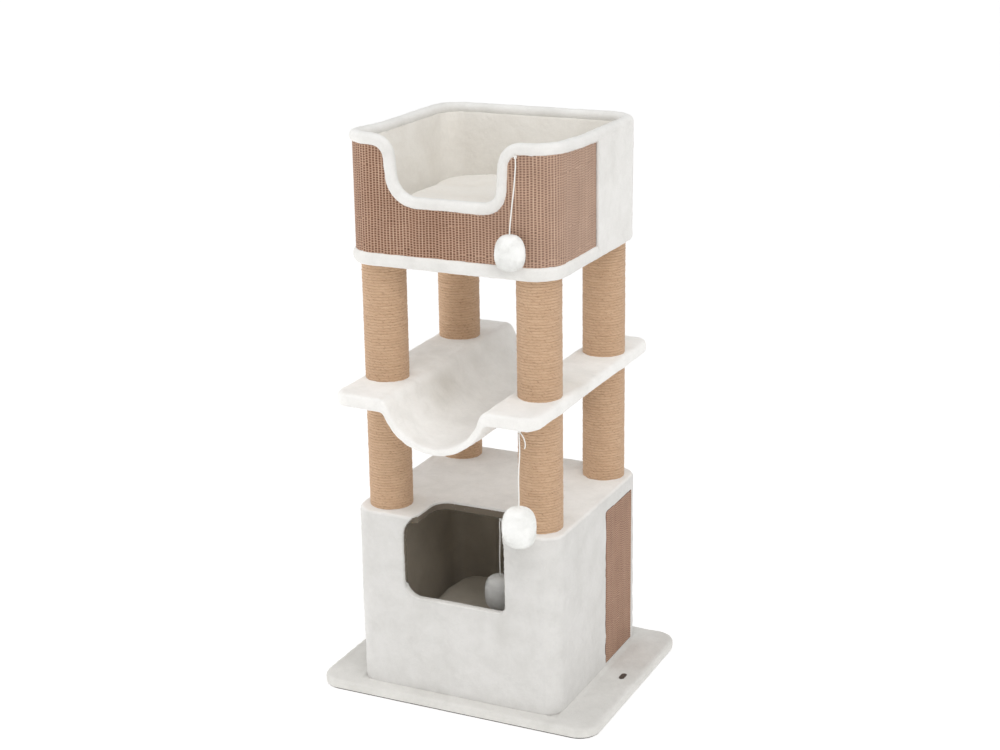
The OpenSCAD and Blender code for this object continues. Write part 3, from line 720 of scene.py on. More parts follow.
def make_cave_lining():
    hx, hy = CWX - 0.0105, CWY - 0.0105
    p = rr_loop(hx, hy, 0.027, 12)
    o = loft("cave_liner", [np.column_stack([p, np.full(len(p), z)]) for z in (BASE_TOP + 0.0005, LID_LOW + 0.002)])
    p = rr_loop(hx - 0.0045, hy - 0.0045, 0.0235, 12)
    hollow = loft("hollow", [np.column_stack([p, np.full(len(p), z)]) for z in (0.0, LID_LOW - 0.0025)])
    door = prism("door", door_outline(0.004), -0.26, -0.170, 1)
    notch = prism("notch", notch_outline(0.004), 0.335, 0.42, 2)
    holes = []
    for name, x, y, z0, z1 in POSTS[:4]:
        holes.append(prism("h", [(x + 0.0135 * math.cos(a * math.pi / 12), y + 0.0135 * math.sin(a * math.pi / 12)) for a in range(24)], LID_LOW - 0.02, LID_LOW + 0.01, 2))
    subtract(o, hollow, door, notch, *holes)
    remesh(o, 0.0034, 1)
    soft_relief(o, 0.0011, 0.0004, 31, lambda q: np.where(q[:, 2] < LID_LOW - 0.004, 1.0, 0.3))
    return finish_piece(o, TAUPE, "frame", ["cave_lining"])


# ------------------------------------------------------------------ woven mats
def weave(s, z, pitch_s=0.0066, pitch_z=0.0045, seed=5):
    """Height from 0 to 1 of the mat, its tone, and where the thin pale threads run: thick yarns cross the threads, with dark holes between."""
    q = np.column_stack([s, z, s * 0])
    warp = 0.0006 * vnoise(q, (0.05, 0.10, 1), seed) + 0.0003 * vnoise(q, (0.012, 0.02, 1), seed + 1)
    u = (s + warp) / pitch_s
    k = np.floor(u)
    f = u - k
    w = (z + 0.0005 * vnoise(q, (0.02, 0.03, 1), seed + 2) + 0.00045 * vnoise(q, (0.006, 0.006, 1), seed + 3)) / pitch_z + 0.5 * vnoise(np.column_stack([k, np.floor(z / 0.05), k * 0]), (3.1, 1.3, 1), seed + 4) + 0.22 * _hash(k.astype(np.int64), (k * 0).astype(np.int64), (k * 0).astype(np.int64), seed + 5)
    kw = np.floor(w)
    g = w - kw
    cell = 0.5 + 0.5 * _hash(k.astype(np.int64), kw.astype(np.int64), (k * 0).astype(np.int64), seed + 7)
    col = 0.5 + 0.5 * _hash(k.astype(np.int64), (k * 0).astype(np.int64), (k * 0).astype(np.int64), seed + 9)
    t = np.minimum(f, 1 - f)
    thread = np.exp(-(t / 0.115) ** 2) * (0.55 + 0.45 * col)
    yarn = 0.30 + 0.52 * np.sqrt(np.clip(1 - ((g - 0.5) / 0.53) ** 2, 0, 1)) * (0.72 + 0.28 * cell)
    hole = np.exp(-((f - 0.5) / 0.29) ** 4) * np.exp(-(np.minimum(g, 1 - g) / 0.25) ** 4) * (0.55 + 0.45 * cell)
    h = np.maximum(yarn - 0.62 * hole, 0.78 * thread + 0.10 * yarn)
    return np.clip(h, 0, 1), cell, thread


def mat_patch(name, along, place, out, z0, z1, step, depth, keep=None, seed=5, thick=0.0028, edge=0.0022):
    """Height field over arc length and height: along is its length, place(s) and out(s) give the point and outward normal in plan."""
    ns, nz = int(along / step) + 1, int((z1 - z0) / step) + 1
    s, z = np.meshgrid(np.linspace(0, along, ns), np.linspace(z0, z1, nz))
    s, z = s.ravel(), z.ravel()
    h, tone, thread = weave(s, z, seed=seed)
    rim = np.minimum.reduce([s, along - s, z - z0, z1 - z])
    h = h * np.clip(rim / edge, 0.0, 1.0)
    q, n = place(s), out(s)
    surf = np.column_stack([q + n * (depth * (h - 1.0))[:, None], z])
    back = np.column_stack([q - n * (thick + depth * 0.2), z])
    faces = grid_faces(ns, nz)
    if keep is not None:
        centre_s = s[faces].mean(1)
        centre_z = z[faces].mean(1)
        faces = faces[keep(centre_s, centre_z)]
    o, used = close_slab(name, surf, back, faces)
    attribute(o, "weave", np.concatenate([h, h])[used])
    attribute(o, "tone", np.concatenate([tone, tone])[used])
    attribute(o, "thread", np.concatenate([thread, thread])[used])
    return o


def make_cave_panel():
    lo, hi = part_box("cave_sisal_panel")
    x, y0, y1 = hi.x + 0.0004, lo.y, hi.y
    o = mat_patch("cave_scratch_mat", y1 - y0, lambda s: np.column_stack([np.full(len(s), x), y0 + s]), lambda s: np.column_stack([np.ones(len(s)), np.zeros(len(s))]),
                  lo.z, hi.z, 0.0011, 0.0016, seed=9)
    return finish_piece(o, SISAL, "frame", ["cave_sisal_panel"])


SEAM_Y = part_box("basket_sisal_mat")[1].y
MR = 0.057
def front_run(hx, hy, r, y_end):
    """Plan curve from the left side's y_end round the front to the right side's y_end: its length, point and outward normal."""
    a = y_end + hy - r
    b = math.pi / 2 * r
    c = 2 * (hx - r)
    total = 2 * a + 2 * b + c

    def both(s):
        s = np.clip(np.asarray(s, float), 0, total)
        p, n = np.zeros((len(s), 2)), np.zeros((len(s), 2))
        m = s < a
        p[m], n[m] = np.column_stack([np.full(m.sum(), -hx), y_end - s[m]]), (-1, 0)
        m = (s >= a) & (s < a + b)
        t = np.pi + (s[m] - a) / r
        n[m] = np.column_stack([np.cos(t), np.sin(t)])
        p[m] = np.array([-hx + r, -hy + r]) + r * n[m]
        m = (s >= a + b) & (s < a + b + c)
        p[m], n[m] = np.column_stack([-hx + r + s[m] - a - b, np.full(m.sum(), -hy)]), (0, -1)
        m = (s >= a + b + c) & (s < a + 2 * b + c)
        t = 1.5 * np.pi + (s[m] - a - b - c) / r
        n[m] = np.column_stack([np.cos(t), np.sin(t)])
        p[m] = np.array([hx - r, -hy + r]) + r * n[m]
        m = s >= a + 2 * b + c
        p[m], n[m] = np.column_stack([np.full(m.sum(), hx), -hy + r + s[m] - a - 2 * b - c]), (1, 0)
        return p, n

    return total, lambda s: both(s)[0], lambda s: both(s)[1]


RIM_R = 0.012
RIM_Z = RIM_TOP - RIM_R
ROLL_X, ROLL_Y, ROLL_R = KX - RIM_R, KY - RIM_R, 0.050
CUT, LOW, HUMP = 0.113, 0.9855, 0.034
FRONT_LIFT = 0.0062
CORNER = 0.052
def edge_height(x):
    """Height of the rim roll's middle over the front, where it is one height for each x."""
    sx = np.asarray(x, float)
    x = np.abs(sx)
    z = np.full(len(x), RIM_Z)
    r = np.where(sx < 0, CORNER, 0.036)
    c = CUT - 0.002 - r
    m = x < c
    z[m] = LOW
    m = (x >= c) & (x < CUT - 0.002)
    z[m] = (LOW + r - np.sqrt(np.clip(r ** 2 - (x - c) ** 2, 0, None)))[m]
    m = (x >= CUT - 0.002) & (x < CUT)
    z[m] = (LOW + 0.036 + RIM_Z - HUMP) / 2
    m = (x >= CUT) & (x < CUT + HUMP)
    z[m] = RIM_Z - HUMP + np.sqrt(np.clip(HUMP ** 2 - (CUT + HUMP - x[m]) ** 2, 0, None))
    return z


def make_basket_mat():
    total, place, out = front_run(MX, MY, MR, SEAM_Y)

    def keep(s, z):
        q = place(s)
        lift = FRONT_LIFT * np.clip((-q[:, 1] - 0.06) / 0.12, 0, 1)
        return z < np.where(q[:, 1] < -MY + 0.002, edge_height(q[:, 0]), RIM_Z) + lift - 0.003

    o = mat_patch("basket_scratch_mat", total, place, out, M_LOW + 0.002, RIM_Z + 0.002, 0.00118, 0.0019, keep, seed=5)
    p = coords(o)
    # painted light: paler towards the right and round the mat's right side
    t = np.clip((p[:, 0] + 0.02) / 0.22, 0, 1)
    attribute(o, "pale", 0.115 * t * t * (3 - 2 * t) + 0.05 * (p[:, 0] > 0) * np.clip((p[:, 1] + MY) / 0.04, 0, 1))
    return finish_piece(o, SISAL, "frame", ["basket_sisal_mat"])


# ------------------------------------------------------------------ rolls
def sweep(name, path, out, section, closed, seed, relief=0.0005):
    """Tube of a closed section along a path; out gives each point's outward direction in plan. Section: function of angle giving (outwards, upwards)."""
    n = len(path)
    if closed:
        t = np.roll(path, -1, 0) - np.roll(path, 1, 0)
    else:
        t = np.gradient(path, axis=0)
    t /= np.linalg.norm(t, axis=1)[:, None]
    w = np.cross(out, t)
    w /= np.linalg.norm(w, axis=1)[:, None]
    w[w[:, 2] < -0.05] *= -1
    m = len(section)
    verts = (path[:, None, :] + section[None, :, 0, None] * out[:, None, :] + section[None, :, 1, None] * w[:, None, :]).reshape(-1, 3)
    i = np.arange(n if closed else n - 1)
    j = np.arange(m)
    ii, jj = np.meshgrid(i, j, indexing="ij")
    a = ii * m + jj
    b = ii * m + (jj + 1) % m
    c = ((ii + 1) % n) * m + (jj + 1) % m
    d = ((ii + 1) % n) * m + jj
    faces = np.stack([a, b, c, d], -1).reshape(-1, 4).tolist()
    if not closed:
        faces.append(list(range(m))[::-1])
        faces.append([(n - 1) * m + k for k in range(m)])
    o = new_object(name, verts, faces)
    bm_fix(o)
    soft_relief(o, relief, 0.0004, seed)
    return o


def bm_fix(o):
    import bmesh
    bm = bmesh.new()
    bm.from_mesh(o.data)
    bmesh.ops.recalc_face_normals(bm, faces=bm.faces)
    bm.to_mesh(o.data)
    bm.free()


def resample(pts, step, closed):
    p = np.asarray(pts, float)
    if closed:
        p = np.vstack([p, p[:1]])
    d = np.concatenate([[0], np.cumsum(np.linalg.norm(np.diff(p, axis=0), axis=1))])
    n = int(d[-1] / step)
    at = np.linspace(0, d[-1], n + 1)
    q = np.column_stack([np.interp(at, d, p[:, k]) for k in range(3)])
    return q[:-1] if closed else q


def make_rim():
    front = ([(x, -ROLL_Y, z) for x, z in arc(-CUT - HUMP, RIM_Z - HUMP, HUMP, 90, 0, 14)] +
             [(x, -ROLL_Y, z) for x, z in arc(-CUT + 0.002 + CORNER, LOW + CORNER, CORNER, 180, 270, 16)] +
             [(x, -ROLL_Y, z) for x, z in arc(CUT - 0.038, LOW + 0.036, 0.036, 270, 360, 14)] +
             [(x, -ROLL_Y, z) for x, z in arc(CUT + HUMP, RIM_Z - HUMP, HUMP, 180, 90, 14)])
    back = []
    for sx, sy, a0 in ((1, -1, 270), (1, 1, 0), (-1, 1, 90), (-1, -1, 180)):
        back += [(x, y, RIM_Z) for x, y in arc(sx * (ROLL_X - ROLL_R), sy * (ROLL_Y - ROLL_R), ROLL_R, a0, a0 + 90, 14)]
    path = resample(front + back, 0.0033, True)
    path[:, 2] += FRONT_LIFT * np.clip((-path[:, 1] - 0.06) / 0.12, 0, 1) * np.clip((path[:, 2] - LOW - 0.03) / 0.05, 0, 1)
    for _ in range(4):
        path = 0.5 * path + 0.25 * (np.roll(path, 1, 0) + np.roll(path, -1, 0))
    dx = np.sign(path[:, 0]) * np.maximum(np.abs(path[:, 0]) - (ROLL_X - ROLL_R), 0)
    dy = np.sign(path[:, 1]) * np.maximum(np.abs(path[:, 1]) - (ROLL_Y - ROLL_R), 0)
    out = np.column_stack([dx, dy, np.zeros(len(dx))])
    out /= np.linalg.norm(out, axis=1)[:, None]
    a = np.linspace(0, 2 * math.pi, 28, endpoint=False)
    section = np.column_stack([(RIM_R - 0.0002) * np.cos(a), (RIM_R - 0.0008) * np.sin(a)])
    o = sweep("basket_rim_roll", path, out, section, True, 41, 0.0007)
    p, n = coords(o), normals(o)
    under = (n[:, 2] < -0.45) & (p[:, 1] < SEAM_Y)
    tufts(o, n[:, 2] > -2, 7000, 0.0006, 0.0015, 0.00024, 42)
    mask = np.zeros(len(coords(o)), bool)
    mask[:len(under)] = under
    tufts(o, mask, 2200, 0.0010, 0.0024, 0.0003, 43, 0.5, 0.6)
    return finish_piece(o, WHITE, "frame", ["basket_rim_piping"])


def make_floor_roll():
    total, place, nrm = front_run(KX - 0.0085, KY - 0.0085, 0.0535, SEAM_Y + 0.001)
    s = np.linspace(0, total, int(total / 0.0033))
    p, n = place(s), nrm(s)
    path = np.column_stack([p, np.full(len(s), (K_LOW + K_PIPE_TOP) / 2)])
    a = np.linspace(0, 2 * math.pi, 30, endpoint=False)
    hz = (K_PIPE_TOP - K_LOW) / 2
    sec = np.column_stack([0.0083 * np.sign(np.cos(a)) * np.abs(np.cos(a)) ** 0.8, hz * np.sin(a)])
    o = sweep("basket_floor_roll", path, np.column_stack([n, np.zeros(len(s))]), sec, False, 51, 0.0006)
    return finish_piece(o, WHITE, "frame", ["basket_floor_piping"])


# ------------------------------------------------------------------ basket plush
def make_basket_outer():
    hx, hy, r = WX + 0.0082, WY + 0.0082, 0.0612
    o = soft_slab("basket_rear_cover", hx, hy, r, K_LOW, RIM_Z + 0.0035, 0.003, 0.006, 14)
    p = rr_loop(WX + 0.0005, WY + 0.0005, 0.053, 14)
    hollow = loft("hollow", [np.column_stack([p, np.full(len(p), z)]) for z in (K_LOW + 0.0034, 1.3)])
    cut = prism("cut", [(-0.3, K_LOW + 0.0036), (0.3, K_LOW + 0.0036), (0.3, 1.3), (-0.3, 1.3)], -0.4, SEAM_Y, 1)
    below = prism("cut2", [(-0.3, -0.4), (0.3, -0.4), (0.3, SEAM_Y + 0.0), (-0.3, SEAM_Y + 0.0)], K_LOW - 0.01, K_LOW - 0.001, 2)
    subtract(o, hollow, cut)
    bpy.data.objects.remove(below)
    remesh(o, 0.0030, 2, 0.4)
    soft_relief(o, 0.0010, 0.0004, 61)
    post_dents(o, [K_LOW], 0.001)
    p = coords(o)
    seam = (np.abs(p[:, 1] - SEAM_Y) < 0.003) & (np.abs(p[:, 0]) > WX)
    tufts(o, p[:, 2] > K_LOW + 0.003, 9000, 0.0006, 0.0016, 0.00024, 62)
    mask = np.zeros(len(coords(o)), bool)
    mask[:len(seam)] = seam
    tufts(o, mask, 700, 0.0012, 0.0034, 0.0003, 63, 0.2, 0.8)
    return finish_piece(o, WHITE, "frame", ["basket_outer_plush"])


def make_basket_lining():
    hx, hy, r = WX - 0.009, WY - 0.009, 0.044
    o = soft_slab("basket_liner", hx, hy, r, FLOOR_TOP - 0.001, RIM_Z - 0.004, 0.001, 0.001, 14)
    p = rr_loop(hx - 0.0045, hy - 0.0045, 0.040, 14)
    hollow = loft("hollow", [np.column_stack([p, np.full(len(p), z)]) for z in (FLOOR_TOP + 0.0035, 1.3)])
    top = [(x, z - 0.004) for x, z in arc(-CUT - HUMP, RIM_Z - HUMP, HUMP, 90, 0, 10)] + [(x, z - 0.004) for x, z in arc(-CUT + 0.002 + CORNER, LOW + CORNER, CORNER, 180, 270, 10)]
    right = [(-x, z - 0.004) for x, z in arc(-CUT - HUMP, RIM_Z - HUMP, HUMP, 90, 0, 10)] + [(-x, z - 0.004) for x, z in arc(-CUT + 0.038, LOW + 0.036, 0.036, 180, 270, 10)]
    outline = top + right[::-1] + [(0.16, 1.3), (-0.16, 1.3)]
    door = prism("door", outline, -0.4, -0.15, 1)
    subtract(o, hollow, door)
    remesh(o, 0.0032, 2, 0.4)
    soft_relief(o, 0.0010, 0.0004, 71)
    return finish_piece(o, LINING, "frame", ["basket_lining"])


# ------------------------------------------------------------------ platform with its trough
def make_platform():
    zc, ri, ro = 0.650, 0.0976, 0.1104
    half_t = (P_TOP - P_LOW) / 2
    zm = (P_TOP + P_LOW) / 2
    # one half of the section, from the middle of the trough's top outwards, round the edge and back underneath
    # blend the trough's inner arc into the board's top with a round shoulder
    sr = 0.022
    # shoulder circle: outside the inner arc, tangent to z = P_TOP from below
    dz = zc - (P_TOP - sr)
    sx = math.sqrt((ri + sr) ** 2 - dz ** 2)
    a_in = math.degrees(math.atan2(-dz, sx))
    top = arc(0, zc, ri, -90, a_in, 34)
    top += arc(sx, P_TOP - sr, sr, 180 + a_in, 90, 10)[1:]
    xe = PX_OUT
    nose = []
    for k in range(19):
        a = math.pi / 2 - math.pi * k / 18
        c, w = math.cos(a), math.sin(a)
        nose.append((xe - 0.0105 + 0.0110 * abs(c) ** 0.72, zm + half_t * math.copysign(abs(w) ** 0.72, w)))
    ur = 0.006
    # underside: fillet between the board's underside and the trough's outer arc
    dz2 = zc - (P_LOW - ur)
    ux = math.sqrt((ro + ur) ** 2 - dz2 ** 2)
    a_out = math.degrees(math.atan2(-dz2, ux))
    under = arc(ux, P_LOW - ur, ur, 90, 180 + a_out, 6)
    under += arc(0, zc, ro, a_out, -90, 36)[1:]
    line = top + nose + under

    def dense(pts, step):
        p = np.array([(x, 0, z) for x, z in pts])
        d = np.concatenate([[0], np.cumsum(np.linalg.norm(np.diff(p, axis=0), axis=1))])
        at = np.linspace(0, d[-1], int(d[-1] / step) + 1)
        return np.column_stack([np.interp(at, d, p[:, 0]), np.interp(at, d, p[:, 2])])

    right = dense(line, 0.0034)
    left = right[::-1][1:-1] * [-1, 1]
    sec = np.concatenate([right, left])
    # inward normals of the section
    t = np.roll(sec, -1, 0) - np.roll(sec, 1, 0)
    t /= np.linalg.norm(t, axis=1)[:, None]
    nin = np.column_stack([t[:, 1], -t[:, 0]])
    area = 0.5 * np.sum(sec[:, 0] * np.roll(sec[:, 1], -1) - np.roll(sec[:, 0], -1) * sec[:, 1])
    nin *= -1 if area > 0 else 1
    for _ in range(3):
        nin = 0.5 * nin + 0.25 * (np.roll(nin, 1, 0) + np.roll(nin, -1, 0))
    er = 0.0056
    ys, ins = [], []
    for k in range(9):
        a = math.pi / 2 * k / 8
        ys.append(-PY + er * (1 - math.sin(a)))
        ins.append(er * (1 - math.cos(math.pi / 2 - a)))
    ins = [er * (1 - math.sin(math.pi / 2 * k / 8)) for k in range(9)]
    ys = [-PY + er * (1 - math.cos(math.pi / 2 * k / 8)) for k in range(9)]
    body = list(np.linspace(-PY + er, PY - er, int(2 * (PY - er) / 0.0036)))[1:-1]
    ys = ys + body + [-y for y in ys[::-1]]
    ins = ins + [0.0] * len(body) + ins[::-1]
    rc = 0.032
    loops = []
    for y, i in zip(ys, ins):
        q = sec + nin * i
        over = max(abs(y) - (PY - rc), 0)
        limit = PX_OUT - rc + math.sqrt(max(rc * rc - over * over, 0))
        x0 = 0.150
        m = np.abs(q[:, 0]) > x0
        k = (limit - x0) / (PX_OUT - x0)
        q[m, 0] = np.sign(q[m, 0]) * (x0 + (np.abs(q[m, 0]) - x0) * k)
        loops.append(np.column_stack([q[:, 0], np.full(len(q), y), q[:, 1]]))
    n = len(sec)
    verts = np.concatenate(loops)
    u, v = np.meshgrid(np.arange(n), np.arange(len(loops) - 1))
    a = v * n + u
    b = v * n + (u + 1) % n
    faces = np.stack([a, b, b + n, a + n], -1).reshape(-1, 4).tolist()
    # caps: pair the upper and lower halves of the section
    for t in tessellate_polygon([[Vector((x, z, 0)) for x, z in sec]]):
        for base in (0, (len(loops) - 1) * n):
            faces.append([base + i for i in t])
    o = new_object("hammock_platform_cover", verts, faces)
    bm_fix(o)
    remesh(o, 0.0029, 5, 0.5)
    p = coords(o)
    # smoothing draws the thin edges in a little: give it back
    n = normals(o)
    set_coords(o, p + n * 0.0004)
    p = coords(o)
    # the sling sags a little more in the middle of its length
    sag = 0.0020 * np.clip(1 - (p[:, 1] / PY) ** 2, 0, 1) * np.clip(1 - (np.abs(p[:, 0]) / 0.1) ** 2, 0, 1)
    p[:, 2] -= sag * (p[:, 2] < P_TOP - 0.004)
    set_coords(o, p)
    soft_relief(o, 0.0012, 0.00045, 81)
    post_dents(o, [P_TOP, P_LOW])
    tufts(o, coords(o)[:, 2] > 0, 14000, 0.0006, 0.0015, 0.00024, 82)
    p = coords(o)
    # painted shadow: soft shade on the trough's left side and on both wings behind the front posts
    spots = [((-0.078, -0.07, 0.60), (0.040, 0.065, 0.035), 0.70), ((-0.148, -0.03, 0.655), (0.036, 0.095, 0.03), 0.90), ((0.186, -0.05, 0.655), (0.042, 0.065, 0.03), 0.90)]
    rubbed = np.zeros(len(p))
    for at, size, much in spots:
        rubbed = np.maximum(rubbed, much * np.exp(-(((p - np.array(at)) / np.array(size)) ** 2).sum(1)))
    attribute(o, "rubbed", rubbed * (1 + 0.35 * vnoise(p, 0.03, 83)))
    o = finish_piece(o, WHITE_PAINTED_LIT, "frame", ["platform_plush_left", "platform_plush_right", "hammock_sling"])
    return o


# ------------------------------------------------------------------ rope-wound posts
def rope_mesh(name, length, pitch, r_out, columns, seed):
    turns = length / pitch
    us = np.array([0.0, 0.07, 0.2, 0.36, 0.5, 0.64, 0.8, 0.93])
    rows = np.concatenate([k + us for k in range(-1, int(math.ceil(turns)) + 1)] + [[math.ceil(turns) + 1.0]])
    th = np.linspace(0, 2 * math.pi, columns, endpoint=False)
    T, R = np.meshgrid(th, rows)
    turn = np.floor(R + 1e-9)
    u = R - turn
    z = pitch * (R + T / (2 * math.pi))
    along = (turn + T / (2 * math.pi)) * 2 * math.pi * r_out
    a = pitch / 2
    ph = (u - 0.5) * math.pi
    h = np.sqrt(np.clip(1 - (2 * u - 1) ** 2, 0, 1))
    lay = 0.0195
    strand = np.cos(3 * (ph * 0.9 + 2 * math.pi * along / lay / 1.0))
    P = np.stack([along, z, R * 0], -1).reshape(-1, 3)
    wob = vnoise(P, (0.045, 0.02, 1), seed).reshape(R.shape)
    fine = vnoise(P, (0.006, 0.0016, 1), seed + 1).reshape(R.shape)
    per_turn = _hash(turn.astype(np.int64), (turn * 0).astype(np.int64), (turn * 0).astype(np.int64), seed)
    deep = 0.0014 * (0.75 + 0.25 * vnoise(P, (0.03, 0.012, 1), seed + 3).reshape(R.shape))
    r = r_out - deep * (1 - h) + h * (0.00030 * strand + 0.00030 * fine + 0.00025 * wob + 0.00018 * per_turn) - 0.0006
    zz = z + 0.00030 * wob
    zz = np.clip(zz, 0, length)
    x, y = r * np.cos(T), r * np.sin(T)
    verts = np.stack([x, y, zz], -1).reshape(-1, 3)
    # the seam at angle 0 joins row R to the row one whole turn later: it is the same column count of rows apart
    nu, nv = columns, len(rows)
    faces = grid_faces(nu, nv)
    per = len(us)
    v = np.arange(nv - 1 - per)
    seam = np.stack([(v + per) * nu, (v + per + 1) * nu, (v + 1) * nu + nu - 1, v * nu + nu - 1], -1)
    faces = np.concatenate([faces, seam[:, ::-1]])
    zf = verts[faces][:, :, 2]
    keep = (zf.max(1) > 1e-7) & (zf.min(1) < length - 1e-7)
    faces = faces[keep]
    depth = (h * (0.9 + 0.1 * strand)).reshape(-1)
    rc = np.stack([along, ph / math.pi + 0.33 * 0, turn], -1).reshape(-1, 3)
    skew = along.reshape(-1) / lay
    rc[:, 1] = rc[:, 1] * 3 + skew * 3
    used, inv = np.unique(faces, return_inverse=True)
    o = new_object(name, verts[used], inv.reshape(-1, 4))
    attribute(o, "depth", depth[used])
    attribute(o, "rope", rc[used], "FLOAT_VECTOR")
    bm_fix(o)
    return o


def make_posts():
    rng = np.random.default_rng(7)
    base = None
    for i, (name, x, y, z0, z1) in enumerate(POSTS):
        if i % 4 == 0:
            base = rope_mesh("rope_winding_" + name.replace("_rope", ""), z1 - z0, 0.00539, POST_R, 200, 90 + i)
            o = base
            p = coords(o)
            tufts(o, (p[:, 2] > 0.004) & (p[:, 2] < z1 - z0 - 0.004), 1500, 0.0015, 0.0042, 0.00012, 190 + i, 0.2, 1.2)
        else:
            o = bpy.data.objects.new("rope_winding_" + name.replace("_rope", ""), base.data)
            scene.collection.objects.link(o)
        a = rng.uniform(0, 2 * math.pi)
        o.matrix_world = Matrix.Translation((x, y, z0)) @ Matrix.Rotation(a, 4, "Z")
        finish_piece(o, ROPE, "frame", [name])


# ------------------------------------------------------------------ cushions
def simulate(o, pressure, cap, frames=20, tension=15.0):
    """Inflates a closed mesh as cloth, caps how far each point moves, and keeps the result."""
    rest = coords(o)
    m = o.modifiers.new("cloth", "CLOTH")
    s = m.settings
    s.use_pressure = True
    s.uniform_pressure_force = pressure
    s.tension_stiffness = s.compression_stiffness = tension
    s.shear_stiffness = 5
    s.bending_stiffness = 0.5
    s.quality = 5
    s.mass = 0.2
    s.effector_weights.gravity = 0
    m.collision_settings.use_collision = False
    m.point_cache.frame_start, m.point_cache.frame_end = 1, frames
    for f in range(1, frames + 1):
        scene.frame_set(f)
    baked(o)
    scene.frame_set(1)
    p = coords(o)
    d = p - rest
    far = np.linalg.norm(d, axis=1)
    d *= (np.minimum(far, cap) / np.maximum(far, 1e-9))[:, None]
    set_coords(o, rest + d)
    return o


def pillow(name, hx, hy, z0, z1, r, mat, body, node, seed, edge, pinch=0.02):
    """A stuffed cushion: a flat cover blown up, seam round its waist, sides pulled in between the corners."""
    lo, hi = z0, z1
    zm = lo + (hi - lo) * 0.42
    loops = []
    levels = [(0.24, 0.0), (0.12, 0.12), (0.05, 0.26), (0.012, 0.40), (0.0, 0.5), (0.012, 0.60), (0.05, 0.76), (0.13, 0.90), (0.26, 1.0)]
    for ins, k in levels:
        i = ins * 0.10 * 2
        p = rr_loop(hx - i, hy - i, max(r - i * 0.6, 0.012), 14)
        loops.append(np.column_stack([p, np.full(len(p), lo + (hi - lo) * k)]))
    o = loft(name, loops)
    remesh(o, 0.0055, 3)
    simulate(o, 4.0, 0.010)
    p = coords(o)
    # keep it in its place: flat underneath, sides drawn in between the corners
    ax, ay = np.abs(p[:, 0]) / hx, np.abs(p[:, 1]) / hy
    waist = np.exp(-((p[:, 2] - zm) / ((hi - lo) * 0.38)) ** 2)
    p[:, 0] -= np.sign(p[:, 0]) * pinch * 0.35 * np.clip(ax, 0, 1) ** 6 * (1 - np.clip(ay, 0, 1) ** 2) * waist
    p[:, 1] -= np.sign(p[:, 1]) * pinch * 0.35 * np.clip(ay, 0, 1) ** 6 * (1 - np.clip(ax, 0, 1) ** 2) * waist
    crown = (1 - np.clip(ax, 0, 1) ** 2.5) * (1 - np.clip(ay, 0, 1) ** 2.5)
    up = p[:, 2] > zm
    p[up, 2] = zm + (p[up, 2] - zm) * (0.80 + 0.24 * crown[up])
    p[:, 2] = np.maximum(p[:, 2], z0)
    over = p[:, 2] > z1 + 0.006
    p[over, 2] = z1 + 0.006 + (p[over, 2] - z1 - 0.006) * 0.3
    p[:, 0] = np.clip(p[:, 0], -hx, hx)
    p[:, 1] = np.clip(p[:, 1], -hy, hy)
    set_coords(o, p)
    smooth(o, 2)
    s = o.modifiers.new("sub", "SUBSURF")
    s.levels = s.render_levels = 1
    baked(o)
    p, n = coords(o), normals(o)
    side = np.clip(np.maximum(np.abs(p[:, 0]) / hx, np.abs(p[:, 1]) / hy), 0, 1) ** 8
    seam = np.exp(-((p[:, 2] - zm) / 0.0022) ** 2) * side
    wr = vnoise(np.column_stack([p[:, 0], p[:, 1], p[:, 2] * 0.3]), 0.028, seed) * np.clip(1 - crown_of(p, hx, hy), 0, 1)
    d = -0.0016 * seam + edge * (0.7 * vnoise(p, 0.06, seed + 1) + 0.5 * wr) + 0.0007 * vnoise(p, 0.009, seed + 2) + 0.0004 * vnoise(p, 0.005, seed + 3)
    p = p + n * d[:, None]
    p[:, 2] = np.maximum(p[:, 2], z0)
    set_coords(o, p)
    finish_piece(o, mat, body, [node])
    return o


def crown_of(p, hx, hy):
    return (1 - np.clip(np.abs(p[:, 0]) / hx, 0, 1) ** 4) * (1 - np.clip(np.abs(p[:, 1]) / hy, 0, 1) ** 4)


